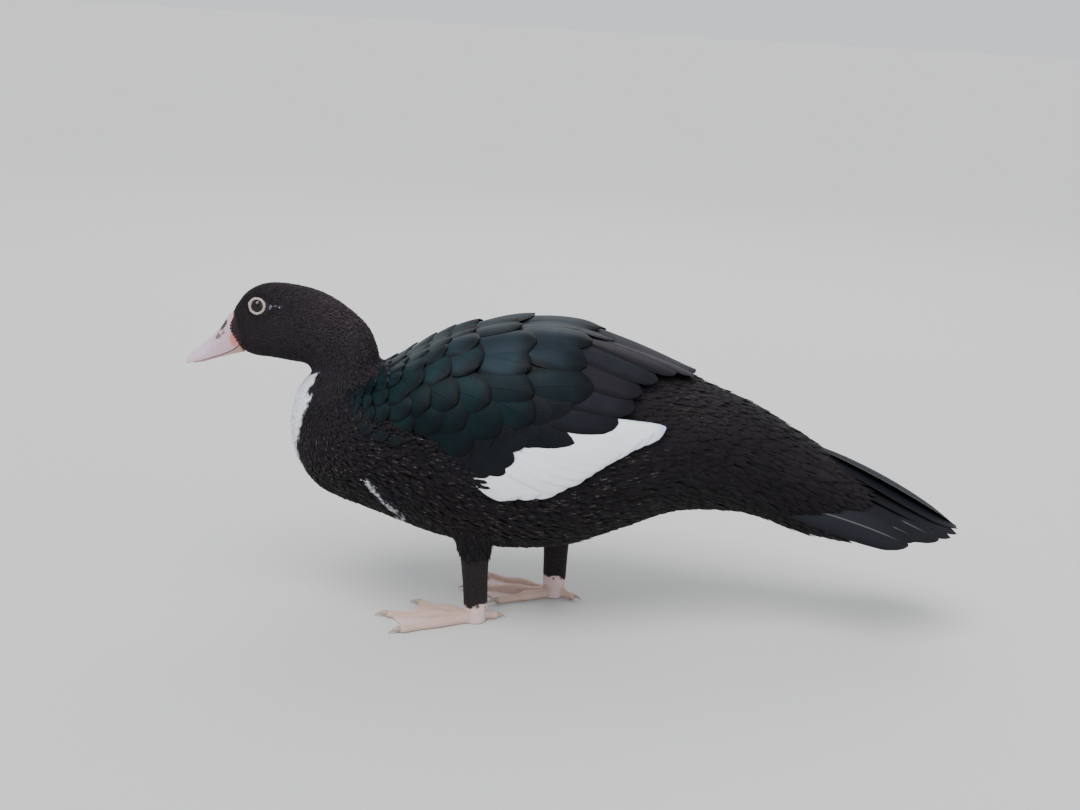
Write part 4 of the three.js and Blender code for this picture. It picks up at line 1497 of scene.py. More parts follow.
SECONDARIES = QuillRow(
    roots=((-0.062, 85), (-0.043, 84), (-0.022, 79), (-0.002, 74), (0.018, 68)),
    tips=((-0.022, 103), (0.018, 100), (0.05, 90), (0.078, 81), (0.103, 72.5)),
    count=13, half=(0.0095, 0.011), lift=(0.0002, 0.0012), roll=0.0009, pale=1.0, hue=0.0, skew=0.75,
)
TERTIALS = QuillRow(
    roots=((-0.012, 62), (0.000, 50), (0.014, 34), (0.028, 20), (0.04, 8)),
    tips=((0.064, 63), (0.08, 51), (0.088, 37), (0.108, 20), (0.132, 6)),
    count=6, half=(0.017, 0.0175), lift=(-0.0004, 0.001), roll=0.0012, pale=0.0, hue=0.6, skew=-0.25,
)


def line_at(line: Pairs, share: Array) -> tuple[Array, Array]:
    """Reads a line of (x, degrees) by share, with the angle in radians."""
    x, degrees = (np.interp(share * (len(line) - 1), range(len(line)), part) for part in zip(*line))
    return x, np.radians(degrees)


@dataclass
class FoldedWing:
    """One folded wing's feathers: coverts in rows, white secondaries and long tertials.

    Painted shade darkens the coverts and their painted sheen in a zone low on the wing, which starts at a
    place with a rise.
    """

    body: BodyForm
    wing: WingForm
    side: Side
    seed: int = 40
    camber: float = 0.07
    quill_camber: float = 0.04
    quill_sink: float = 0.0045
    painted_low_shade_side: tuple[float, float] = (44.0, 12.0)
    painted_low_shade_x: tuple[float, float] = (-0.112, 0.02)
    pale_from: tuple[float, float] = (0.02, 0.05)

    def __post_init__(self) -> None:
        """Makes the wing's surface and starts its draws."""
        self.surface = self.wing.surface(self.body, self.side)
        self.draw = np.random.default_rng(self.seed + self.side.value)

    def add_row(self, coat: Coat, row: VaneRow, shifted: bool) -> None:
        """Adds one row of coverts.

        Args:
            coat: Where they go.
            row: The row.
            shifted: Whether its feathers stand between those of the row before.
        """
        x, angle = line_at(row.tips, np.linspace(0, 1, 200))
        steps = np.linalg.norm(np.diff(self.surface.point(x, angle), axis=0), axis=-1)
        run = np.concatenate([[0], np.cumsum(steps)])
        count = max(2, round(run[-1] / row.pitch))
        share = (np.arange(count + 1) - (0.5 if shifted else 0.0)) / count
        share = share[share <= 1.001]
        amount = len(share)
        share = np.clip(share + self.draw.normal(0, 0.08 / count, amount), 0, 1)
        t, angle = np.interp(share * run[-1], run, x), np.interp(share * run[-1], run, angle)
        size = self.draw.normal(1, 0.05, amount)
        t = t + self.draw.normal(0, 0.0012 * row.loose, amount)
        ranges = (row.length, row.half, row.turn, row.lift)
        length, half, turn, lift = (first + (last - first) * share for first, last in ranges)
        length, turn = length * size, np.radians(turn) + self.draw.normal(0, 0.05 * row.loose, amount)
        roots = Roots(
            *back_from(self.surface, t, angle, length, turn), length=length, half=half * size, turn=turn,
            root_out=np.full(amount, -row.sink), tip_out=lift + self.draw.normal(0, 0.0002, amount),
            camber=self.camber,
        )
        # Painted shade: low on the wing the coverts are made darker and lose much of their painted sheen.
        painted_low_shade = above(np.degrees(angle), *self.painted_low_shade_side) * above(t, *self.painted_low_shade_x)
        tone = shares(self.draw, row.tone - 0.5 * painted_low_shade, 0.2, amount)
        self.lay_on(coat, roots, COVERT, tone=tone, hue=shares(self.draw, row.hue - 0.3 * painted_low_shade, 0.16, amount))

    def add_quills(self, coat: Coat, row: QuillRow) -> None:
        """Adds a row of long quills.

        Args:
            coat: Where they go.
            row: The row.
        """
        share, amount = np.linspace(0, 1, row.count), row.count
        t, angle = line_at(row.roots, share)
        tip_t, tip_angle = line_at(row.tips, share)
        tip_t = tip_t + self.draw.normal(0, 0.0015, amount)
        lift = np.linspace(*row.lift, amount)
        roots = Roots(
            t, angle, length=np.zeros(amount), half=np.linspace(*row.half, amount), turn=np.zeros(amount),
            root_out=lift - self.quill_sink, tip_out=lift, camber=self.quill_camber, roll=row.roll,
            skew=row.skew, tips=(tip_t, tip_angle),
        )
        pale = above(np.array(QUILL.rows), *self.pale_from)[None, :, None] * row.pale
        tone = shares(self.draw, 0.5, 0.2, amount)
        self.lay_on(coat, roots, QUILL, tone=tone, hue=shares(self.draw, row.hue, 0.25, amount), pale=pale)

    def lay_on(self, coat: Coat, roots: Roots, cut: VaneCut, **values: Number) -> None:
        """Lays vanes on the wing's surface, with their places on its own unwrap.

        Args:
            coat: Where they go.
            roots: Their roots.
            cut: Their cut.
            values: What the finish reads.
        """
        x, angle = self.wing.grid_x, self.wing.grid_angle
        places = unwrapped((roots.t - x[0]) / (x[1] - x[0]), roots.angle / angle[1])
        coat.add(lay(self.surface, roots, cut)[0], cut, places, **values)

    def build(self) -> None:
        """Makes the wing's three coats."""
        parts = ("coverts", "lower_coverts", "quills")
        coverts, dark, quills = (Coat(f"{part}_{self.side.word}") for part in parts)
        for coat, rows in ((coverts, COVERT_ROWS), (dark, (*SHOULDER_ROWS, *DARK_ROWS))):
            for i, row in enumerate(rows):
                self.add_row(coat, row, i % 2 == 1)
        for row in (SECONDARIES, TERTIALS):
            self.add_quills(quills, row)
        for coat, finish in ((coverts, COVERT_FINISH), (dark, DARK_FINISH), (quills, QUILL_FINISH)):
            dress(coat.build(), finish)


@dataclass
class TailFan:
    """The tail's long quills in a flat roof, and the long coverts over and under their roots.

    A row of coverts has the x of its tips, its widest angle in degrees and its feathers' length.
    """

    body: BodyForm
    seed: int = 61
    root_start: tuple[float, float, float] = (0.232, 0.003, 0.1665)
    root_step: tuple[float, float, float] = (-0.0064, 0.0038, -0.0091)
    tip_x: tuple[float, ...] = (0.371, 0.369, 0.358, 0.349, 0.33, 0.316)
    tip_y: tuple[float, ...] = (0.004, 0.013, 0.022, 0.031, 0.041, 0.05)
    lift: float = 0.004
    fall: float = 0.503
    arch: float = 7.0
    layer: float = 0.0022
    bow: float = 0.004
    droop: float = 0.0015
    half: float = 0.0165
    lean: tuple[float, float] = (20.0, 58.0)
    roll: float = 0.0006
    curve: float = 0.07
    upper_rows: Triples = (
        (0.206, 120, 0.05), (0.222, 112, 0.056), (0.238, 100, 0.062), (0.252, 84, 0.066), (0.264, 60, 0.068),
    )
    under_rows: Triples = ((0.226, 66, 0.046), (0.252, 60, 0.052), (0.272, 52, 0.056), (0.288, 44, 0.058))
    covert_half: float = 0.0062
    covert_pitch: float = 0.0055
    covert_sink: float = 0.01
    radius: float = 0.036

    def __post_init__(self) -> None:
        """Starts the draws."""
        self.draw = np.random.default_rng(self.seed)

    def add_fan(self, coat: Coat, side: Side) -> None:
        """Adds one side's quills.

        Args:
            coat: Where they go.
            side: The side.
        """
        count = len(self.tip_x)
        place, flip = np.arange(count), np.array((1.0, side.value, 1.0))
        tip_x, tip_y = self.tip_x + self.draw.normal(0, 0.0015, count), np.array(self.tip_y)
        slope = self.fall * (tip_x - self.root_start[0]) + self.arch * tip_y**2 + self.layer * place
        tip = np.stack([tip_x, tip_y, self.root_start[2] + self.lift - slope], -1) * flip
        root = (np.array(self.root_start) + place[:, None] * np.array(self.root_step)) * flip
        share = np.array(TAIL_QUILL.rows)[None, :, None]
        point = root[:, None] + (tip - root)[:, None] * share
        point[..., 2] += (self.bow * (share * (1 - share) * 4) - self.droop * share**3)[..., 0]
        lean = np.radians(np.linspace(*self.lean, count))
        sideways = np.stack([np.zeros_like(lean), side.value * np.cos(lean), -np.sin(lean)], -1)
        heading = (tip - root) / np.linalg.norm(tip - root, axis=-1, keepdims=True)
        normal = np.cross(heading, sideways)
        normal *= np.sign(normal[:, 2:3])
        sideways, normal = (np.broadcast_to(v[:, None], point.shape) for v in (sideways, normal))
        half = self.half * self.draw.normal(1, 0.03, count)
        rings = on_spines(point, sideways, normal, half, TAIL_QUILL, self.roll, self.curve)
        tone, hue = (shares(self.draw, middle, wide, count) for middle, wide in ((0.5, 0.25), (0.4, 0.3)))
        places = unwrapped(0.5 + 0.2 * side.value * tip_y / self.tip_y[-1], np.full(count, 0.5))
        coat.add(rings, TAIL_QUILL, places, tone=tone, hue=hue)

    def add_coverts(self, coat: Coat, x: float, reach: float, length: float, under: bool) -> None:
        """Adds one row of coverts across the tail.

        Args:
            coat: Where they go.
            x: How far back their tips reach.
            reach: The widest angle of the row, in degrees.
            length: How long they are.
            under: Whether they lie under the tail.
        """
        wide = math.radians(reach)
        count = max(3, round(2 * wide * self.radius / self.covert_pitch))
        angle = (math.pi if under else 0.0) + np.linspace(-wide, wide, count)
        angle += self.draw.normal(0, 0.02, count)
        tip_t = self.body.station_at(np.full(count, x), angle)
        t = tip_t - length / self.body.grip(tip_t, angle)[0]
        roots = Roots(
            t, angle, length=length * self.draw.normal(1, 0.07, count),
            half=self.covert_half * self.draw.normal(1, 0.12, count), turn=self.draw.normal(0, 0.09, count),
            root_out=np.full(count, -self.covert_sink), tip_out=self.draw.normal(-0.001, 0.0009, count),
        )
        tone, hue = (shares(self.draw, middle, wide, count) for middle, wide in ((0.4, 0.25), (0.5, 0.3)))
        places = unwrapped(round_share(angle), t / (len(self.body.stations) - 1))
        coat.add(lay(self.body, roots, LONG_COVERT)[0], LONG_COVERT, places, tone=tone, hue=hue)

    def build(self) -> None:
        """Makes the quills and the coverts."""
        fan, coverts = Coat("tail_quills"), Coat("tail_coverts")
        for side in Side:
            self.add_fan(fan, side)
        for rows, under in ((self.upper_rows, False), (self.under_rows, True)):
            for row in rows:
                self.add_coverts(coverts, *row, under)
        dress(fan.build(), TAIL_FINISH)
        dress(coverts.build(), BODY_FINISH)


NOSTRIL = (-0.2756, 0.2338)
NOSTRIL_FOLD = (-0.2713, 0.2372)


@dataclass(frozen=True)
class Mandible:
    """One half of the bill between an upper and a lower line of (x, z)."""

    name: str
    crown: tuple[tuple[float, float], ...]
    mouth: tuple[tuple[float, float], ...]
    halves: tuple[float, ...]
    lip: float
    full: float = 2.3

    def point(self, share: Array, angle: Array) -> Array:
        """A point of the outside.

        Args:
            share: Place from the head to the tip.
            angle: Angle from the crown line.

        Returns:
            The points.
        """
        share, angle = np.broadcast_arrays(share, angle)
        place = share * (len(self.crown) - 1)
        crown, mouth = through(np.array(self.crown), place), through(np.array(self.mouth), place)
        half = through(np.array([[h] for h in self.halves]), place)[..., 0]
        end = np.sqrt(np.clip(1 - np.clip((share - 0.93) / 0.07, 0, 1) ** 2, 0, 1))
        high = np.clip(np.cos(angle), 0, 1)[..., None]
        flat = mouth + (crown - mouth) * high * (0.35 + 0.65 * end[..., None])
        flat[..., 1] -= self.lip * np.clip(-np.cos(angle), 0, 1)
        return np.stack([flat[..., 0], half * filled(np.sin(angle), self.full) * end, flat[..., 1]], -1)


@dataclass
class BillForm(Form):
    """The side of the upper bill, which the smallest feathers of the face cover at its root."""

    upper: Mandible
    middle: tuple[float, float, float] = (-0.27, 0.0, 0.236)
    step = (0.004, 0.02)

    def point(self, t: Array, angle: Array, out: Number = 0.0) -> Array:
        """A point over the bill's side.

        Args:
            t: The share of the bill's length.
            angle: The angle from the culmen.
            out: The height over the surface.

        Returns:
            The points.
        """
        t, angle, out = np.broadcast_arrays(t, angle, out)
        first = np.zeros_like(t)
        slope = (self.upper.point(first + 0.03, angle) - self.upper.point(first, angle)) / 0.03
        points = self.upper.point(np.maximum(t, 0), angle) + slope * np.minimum(t, 0)[..., None]
        away = points - np.array(self.middle)
        away[..., 0] = 0
        return points + away / np.maximum(np.linalg.norm(away, axis=-1, keepdims=True), 1e-6) * out[..., None]


@dataclass(frozen=True)
class HornFinish(Finish):
    """The upper bill's pale lilac-pink horn, with a dark culmen patch and a redder root."""

    name: str = "upper_bill_horn"
    lilac: Colour = (0.53, 0.4, 0.55)
    pink: Colour = (0.66, 0.55, 0.7)
    grey: Colour = (0.52, 0.37, 0.41)
    edge: Colour = (0.6, 0.36, 0.38)
    root: Colour = (0.56, 0.13, 0.12)
    wedge: Colour = (0.66, 0.33, 0.32)
    culmen: Colour = (0.03, 0.022, 0.026)
    bed: Colour = (0.34, 0.22, 0.26)
    hole: Colour = (0.115, 0.068, 0.088)
    nail: Colour = (0.66, 0.55, 0.53)

    def paint(self, n: Nodes) -> dict[str, object]:
        """Paints the horn's zones one over another.

        Args:
            n: The material's nodes.

        Returns:
            What the shader's inputs get.
        """
        mottle = n.noise(0.006, 4.0)
        x, _, z = n.axes(n.place())
        colour = n.mix(mottle, self.lilac, self.pink)
        colour = n.mix(n.ease(x, -0.292 + SHIFT, -0.272 + SHIFT), colour, self.grey)
        colour = n.mix(n.times(n.ease(z, 0.2215, 0.2125), 0.55), colour, self.edge)
        red = n.times(n.spot((-0.261, 0.233), 0.0052, 0.0088, 0.25), n.scale(mottle, 0.35, 1.25))
        colour = n.mix(red, colour, self.root)
        colour = n.mix(n.times(n.spot((-0.264, 0.249), 0.004, 0.0085, 0.35), 0.75), colour, self.wedge)
        patch = n.plus(n.spot((-0.2712, 0.2435), 0.0072, 0.0024, 1.02), n.uneven(0.0025, -0.35, 0.35))
        colour = n.mix(n.ease(patch, 0.35, 0.6), colour, self.culmen)
        colour = n.mix(n.times(n.spot((-0.2738, 0.2358), 0.0085, 0.0042, 0.85), 0.35), colour, self.bed)
        # Painted shade: the nostril and the fold behind it are painted dark, as the shade in their hollows.
        for place, wide, high in ((NOSTRIL, 0.0036, 0.0021), (NOSTRIL_FOLD, 0.0034, 0.0011)):
            hole = n.ease(n.spot(place, wide, high, 0.85), 0.15, 0.75)
            colour = n.mix(n.times(hole, 0.85), colour, self.hole)
        nail = n.ease(x, -0.2975 + SHIFT, -0.3015 + SHIFT)
        return {
            "Base Color": n.mix(n.times(nail, 0.55), colour, self.nail),
            "Roughness": n.uneven(0.003, 0.36, 0.52),
            "Coat Weight": 0.15,
            "Coat Roughness": 0.3,
            "Subsurface Weight": 0.12,
            "Subsurface Radius": (0.004, 0.0018, 0.0014),
            "Normal": n.bump(n.plus(n.noise(0.0011, 4.0), n.times(n.noise(0.004), 1.5)), 0.00022),
        }


@dataclass(frozen=True)
class LowerHornFinish(Finish):
    """The lower bill's paler, tanner horn."""

    name: str = "bill_lower_horn"
    dark: Colour = (0.5, 0.33, 0.32)
    light: Colour = (0.62, 0.44, 0.44)
    tan: Colour = (0.53, 0.36, 0.28)
    mouth: Colour = (0.28, 0.12, 0.11)

    def paint(self, n: Nodes) -> dict[str, object]:
        """Paints it, tanner at the root and darker at the mouth.

        Args:
            n: The material's nodes.

        Returns:
            What the shader's inputs get.
        """
        x, _, z = n.axes(n.place())
        colour = n.mottled(0.005, self.dark, self.light)
        colour = n.mix(n.ease(x, -0.272 + SHIFT, -0.258 + SHIFT), colour, self.tan)
        return {
            "Base Color": n.mix(n.times(n.ease(z, 0.2185, 0.2295), 0.35), colour, self.mouth),
            "Roughness": n.uneven(0.003, 0.42, 0.6),
            "Normal": n.bump(n.noise(0.0012, 4.0), 0.00025),
        }


@dataclass(frozen=True)
class Bill:
    """The bill: two horny halves, the nostrils, the nail and the feather edge at its root.

    A hollow has its middle as (x, z), half its length and width, and how far it is drawn in.
    """

    upper: Mandible = Mandible(
        "bill_horn_upper",
        crown=((-0.2643, 0.2552), (-0.2686, 0.2506), (-0.2745, 0.2411), (-0.281, 0.2335), (-0.291, 0.2241),
               (-0.3, 0.2163), (-0.3044, 0.2104)),
        mouth=((-0.2564, 0.2295), (-0.262, 0.2248), (-0.271, 0.2202), (-0.28, 0.2168), (-0.289, 0.2136),
               (-0.2975, 0.211), (-0.3032, 0.2089)),
        halves=(0.0122, 0.0124, 0.012, 0.0116, 0.0118, 0.0108, 0.0075), lip=0.001,
    )
    lower: Mandible = Mandible(
        "bill_horn_lower",
        crown=((-0.254, 0.2206), (-0.26, 0.2194), (-0.269, 0.2168), (-0.278, 0.2139), (-0.286, 0.2112),
               (-0.293, 0.2094), (-0.298, 0.209)),
        mouth=((-0.2566, 0.228), (-0.262, 0.2234), (-0.271, 0.2188), (-0.28, 0.2154), (-0.288, 0.2127),
               (-0.295, 0.2106), (-0.299, 0.2094)),
        halves=(0.011, 0.011, 0.0104, 0.0098, 0.0094, 0.008, 0.005), lip=-0.001,
    )
    hole: tuple = (NOSTRIL, (0.0035, 0.0019), 1.25, 0.0024)
    fold: tuple = (NOSTRIL_FOLD, (0.0032, 0.0012), 1.3, 0.0009)
    bed: tuple = ((-0.2738, 0.2352), (0.007, 0.0048), 1.2, 0.0006)
    hollow_turn: float = 0.85
    nostril_rim: float = 0.00025
    feather_edge: Pairs = (
        (0.2184, -0.252), (0.227, -0.2552), (0.2325, -0.26), (0.2387, -0.2644), (0.2445, -0.2652),
        (0.2547, -0.2617),
    )
    feather_gap: float = 0.0006
    columns: int = 128
    rows: int = 190

    def sunk(self, points: Array) -> Array:
        """How far the side of the upper bill is drawn in.

        Args:
            points: Points of the plain outline.

        Returns:
            The depth at each point, which is below 0 on the nostril's rim.
        """
        cos, sin = math.cos(self.hollow_turn), math.sin(self.hollow_turn)
        depth = 0.0
        for centre, size, edge, deep in (self.hole, self.fold, self.bed):
            dx, dz = points[..., 0] - centre[0], points[..., 2] - centre[1]
            away = np.hypot((dx * cos - dz * sin) / size[0], (dz * cos + dx * sin) / size[1])
            depth = depth + deep * smooth(edge - away)
            if centre == NOSTRIL:
                depth = depth - self.nostril_rim * np.exp(-((away - 1.35) / 0.3) ** 2)
        return depth

    def half_of(self, shape: Mandible, node: str) -> Piece:
        """Builds one half of the bill, the upper one with its nostrils and its nail.

        Args:
            shape: Its outline.
            node: The solid that it replaces.

        Returns:
            The piece.
        """
        bm = bmesh.new()
        made, share, angle = grid(bm, self.columns, self.rows)
        share = 1 - (1 - share) ** 1.25
        points = shape.point(share, angle)
        if shape is self.upper:
            points[:, 1] -= np.sign(points[:, 1]) * self.sunk(points) * (np.abs(points[:, 1]) > 0.002)
            tip = np.hypot((points[:, 0] + 0.3035) / 0.0085, points[:, 1] / 0.0062)
            points[:, 2] += 0.00045 * smooth((1.0 - tip) * 4) * (np.cos(angle) > 0)
            points[:, 2] -= 0.0009 * smooth((share - 0.95) / 0.05) * (np.cos(angle) < 0.3)
        ripple = np.sin(points[:, 0] * 5200 + 3 * np.sin(points[:, 2] * 900)) * above(share, 0.3, -0.2)
        points[:, 1] += np.sign(points[:, 1]) * 0.00005 * ripple
        roll_up(bm, made, points, 2e-6)
        piece = piece_from(shape.name, bm)
        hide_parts(node)
        return piece

    def lores(self) -> Coat:
        """Lays the smallest feathers of the face over the root of the bill.

        Returns:
            Their coat.
        """
        form = BillForm(self.upper)
        t, angle = spread(form, -0.12, 0.42, lambda t, _: np.full_like(t, self.feather_gap), 31)
        points = form.point(t, angle)
        ragged = 0.0007 * np.sin(points[:, 2] * 2600) + 0.0004 * np.sin(points[:, 2] * 7100)
        kept = (points[:, 0] > read(self.feather_edge, points[:, 2]) + ragged) & (np.abs(angle) < 1.95)
        t, angle = t[kept], angle[kept]
        draw, amount = np.random.default_rng(32), len(t)
        roots = Roots(
            t, angle, length=draw.normal(0.0022, 0.0003, amount), half=np.full(amount, 0.00045),
            turn=math.pi + draw.normal(0.25, 0.15, amount) * np.sign(angle),
            root_out=np.full(amount, -0.0001), tip_out=draw.normal(0.0007, 0.00015, amount),
        )
        coat, places = Coat("coat_lores"), unwrapped(round_share(angle), t + 0.3)
        tone = shares(draw, 0.4, 0.28, amount)
        coat.add(lay(form, roots, TUFT)[0], TUFT, places, tone=tone, hue=draw.uniform(0, 1, amount))
        return coat

    def build(self) -> None:
        """Makes the two halves and the feathers at the root."""
        dress(self.half_of(self.upper, "bill_upper"), HornFinish())
        dress(self.half_of(self.lower, "bill_lower"), LowerHornFinish())
        dress(self.lores().build(), HEAD_FINISH)


@dataclass(frozen=True)
class EyeFinish(Finish):
    """A wet brown eye with a wide black pupil."""

    name: str = "wet_eye"
    iris: float = 0.005
    pupil: float = 0.0036
    dark: Colour = (0.012, 0.0065, 0.0045)
    light: Colour = (0.034, 0.019, 0.012)
    rim: Colour = (0.005, 0.0035, 0.003)
    black: Colour = (0.002, 0.002, 0.002)

    def paint(self, n: Nodes) -> dict[str, object]:
        """Paints by how far a point lies from the eye's axis, and streaks the iris round it.

        Args:
            n: The material's nodes.

        Returns:
            What the shader's inputs get.
        """
        reach = n.value("reach")
        streak = n.node("ShaderNodeTexNoise", {"Scale": 14.0, "W": n.value("turned")}, noise_dimensions="1D")
        iris = n.mix(streak.outputs["Fac"], self.dark, self.light)
        iris = n.mix(n.ease(reach, self.iris * 0.8, self.iris), iris, self.rim)
        return {
            "Base Color": n.mix(n.ease(reach, self.pupil - 0.0002, self.pupil + 0.0002), self.black, iris),
            "Roughness": 0.25,
            "Specular IOR Level": 0.0,
            "Coat Weight": 0.7,
            "Coat Roughness": 0.02,
        }


@dataclass(frozen=True)
class LidFinish(Finish):
    """Whitish-pink wrinkled skin."""

    name: str = "lid_skin"
    dark: Colour = (0.3, 0.23, 0.215)
    light: Colour = (0.5, 0.425, 0.4)

    def paint(self, n: Nodes) -> dict[str, object]:
        """Paints it mottled, with fine wrinkles.

        Args:
            n: The material's nodes.

        Returns:
            What the shader's inputs get.
        """
        return {
            "Base Color": n.mottled(0.0016, self.dark, self.light),
            "Roughness": n.uneven(0.002, 0.45, 0.65),
            "Subsurface Weight": 0.1,
            "Subsurface Radius": (0.003, 0.0012, 0.001),
            "Normal": n.bump(n.cells(0.0006), 0.0001),
        }


@dataclass(frozen=True)
class Eye:
    """One eye: a smooth ball with an iris and a pupil, in a pale, fleshy ring of lid.

    A wave of the lid's edge has its size, its count round the ring and its shift.
    """

    side: Side
    bulge: float = 0.0004
    bulge_wide: float = 0.8
    ball_steps: int = 96
    lid_ring: float = 0.0062
    lid_thick: float = 0.00128
    lid_stand: float = 0.0053
    lid_waves: Triples = ((0.25, 3, 1), (0.22, 7, 0), (0.25, 13, 2))
    lid_uneven: float = 0.00025
    lid_crease: float = 0.00009
    lid_fold: float = 0.00028
    lid_corner: float = 0.0004
    lid_columns: int = 180
    lid_rows: int = 48

    def placed(self, points: Array) -> Array:
        """Turns points from the eye's own axis, Z, into the head.

        Args:
            points: The points.

        Returns:
            The points in the head.
        """
        flip = self.side.value
        turn = Vector((EYE_AXIS.x, flip * EYE_AXIS.y, EYE_AXIS.z)).to_track_quat("Z", "Y").to_matrix()
        return np.array((EYE.x, flip * EYE.y, EYE.z)) + points @ np.array(turn).T

    def ball(self) -> bmesh.types.BMesh:
        """Spins the eyeball, with its cornea a little proud.

        Returns:
            The ball, with each vertex's reach from the eye's axis and its angle round it.
        """
        bm = bmesh.new()
        away = np.linspace(0, math.pi, self.ball_steps + 1)
        radius = EYE_RADIUS + self.bulge * smooth(1 - away / self.bulge_wide)
        profile = [bm.verts.new((r * math.sin(a), 0, r * math.cos(a))) for a, r in zip(away, radius)]
        edges = [bm.edges.new(pair) for pair in zip(profile, profile[1:])]
        bmesh.ops.spin(bm, geom=profile + edges, cent=(0, 0, 0), axis=(0, 0, 1), angle=FULL_TURN,
                       steps=self.ball_steps, use_merge=True)
        bmesh.ops.remove_doubles(bm, verts=bm.verts, dist=1e-7)
        bmesh.ops.recalc_face_normals(bm, faces=bm.faces)
        reach, turned = (bm.verts.layers.float.new(name) for name in ("reach", "turned"))
        for vertex in bm.verts:
            x, y, z = vertex.co
            vertex[reach] = math.hypot(x, y) if z > 0 else EYE_RADIUS
            vertex[turned] = abs(math.atan2(y, x))
            vertex.co = self.placed(np.array(vertex.co))
        return bm

    def lid(self) -> bmesh.types.BMesh:
        """Builds the ring of lid, wrinkled and a little uneven.

        Returns:
            The ring.
        """
        bm = bmesh.new()
        made, share, angle = grid(bm, self.lid_columns, self.lid_rows)
        cross = (share - 0.5) * FULL_TURN
        uneven = sum(size * np.sin(count * angle + shift) for size, count, shift in self.lid_waves)
        crease = np.sin(46 * angle + 2 * np.sin(5 * angle)) * np.clip(np.cos(cross), 0, 1)
        fold = np.exp(-((np.sin(cross) - 0.35) / 0.16) ** 2) * (np.cos(cross) > -0.2)
        thick = self.lid_thick * (1 + 0.1 * uneven) + self.lid_crease * crease - self.lid_fold * fold
        corner = self.lid_corner * np.exp(-((angle - 2.9) / 0.35) ** 2)
        across = self.lid_ring + self.lid_uneven * uneven + (thick * 0.86 + corner) * np.sin(cross)
        height = self.lid_stand + thick * np.cos(cross) * 0.95
        points = np.stack([across * np.cos(angle), across * np.sin(angle), height], -1)
        roll_up(bm, made, self.placed(points), capped=False)
        return bm

    def build(self) -> None:
        """Makes the ball and the lid."""
        for name, bm, finish in (("eyeball", self.ball(), EyeFinish()), ("lid", self.lid(), LidFinish())):
            piece = piece_from(f"{name}_{self.side.word}", bm)
            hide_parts(f"eye_{self.side.word}")
            dress(piece, finish)


@dataclass(frozen=True)
class Toe:
    """One toe: its heading in degrees out from straight ahead, its reach and half its width."""

    name: str
    turn: float
    reach: float
    half: float
    rise: float = 0.0


@dataclass(frozen=True)
class LegFinish(Finish):
    """Black-brown scales above, pale pink skin below and tan along the toes."""

    pale_to: float
    pink: tuple[Colour, Colour] = ((0.64, 0.43, 0.43), (0.76, 0.6, 0.6))
    tan: tuple[Colour, Colour] = ((0.52, 0.36, 0.29), (0.68, 0.5, 0.43))
    spot: Colour = (0.1, 0.055, 0.045)
    dark: tuple[Colour, Colour] = ((0.0045, 0.0038, 0.0045), (0.018, 0.014, 0.015))
    crack: Colour = (0.05, 0.04, 0.04)

    def paint(self, n: Nodes) -> dict[str, object]:
        """Paints it by height, with a ragged edge between the dark and the pale.

        Args:
            n: The material's nodes.

        Returns:
            What the shader's inputs get.
        """
        z = n.axes(n.place())[2]
        pale = n.mix(n.value("toe"), n.mottled(0.005, *self.pink, 5.0), n.mottled(0.003, *self.tan))
        spots = n.ease(n.noise(0.0045, 5.0), 0.6, 0.7)
        pale = n.mix(n.times(spots, n.ease(z, self.pale_to * 0.35, self.pale_to)), pale, self.spot)
        cracks = n.times(n.ease(n.cells(0.0021, 1.6), 0.1, 0.02), 0.6)
        dark = n.mix(cracks, n.mottled(0.002, *self.dark), self.crack)
        ragged = n.plus(z, n.scale(n.noise(0.012, 4.0), -0.012, 0.012))
        edge = n.ease(ragged, self.pale_to - 0.0015, self.pale_to + 0.0015)
        return {
            "Base Color": n.mix(edge, pale, dark),
            "Roughness": n.uneven(0.003, 0.42, 0.62),
            "Subsurface Weight": 0.06,
            "Subsurface Radius": (0.003, 0.0012, 0.001),
            "Specular IOR Level": 0.15,
            "Normal": n.bump(n.ease(n.cells(0.0017, 1.5), 0.0, 0.18), 0.00022),
        }


@dataclass(frozen=True)
class ClawFinish(Finish):
    """Grey-tan horn."""

    name: str = "claw_horn"
    dark: Colour = (0.2, 0.14, 0.12)
    light: Colour = (0.52, 0.42, 0.36)

    def paint(self, n: Nodes) -> dict[str, object]:
        """Paints it mottled and smooth.

        Args:
            n: The material's nodes.

        Returns:
            What the shader's inputs get.
        """
        return {
            "Base Color": n.mottled(0.003, self.dark, self.light),
            "Roughness": n.uneven(0.002, 0.3, 0.5),
            "Normal": n.bump(n.noise(0.0008), 0.0001),
        }


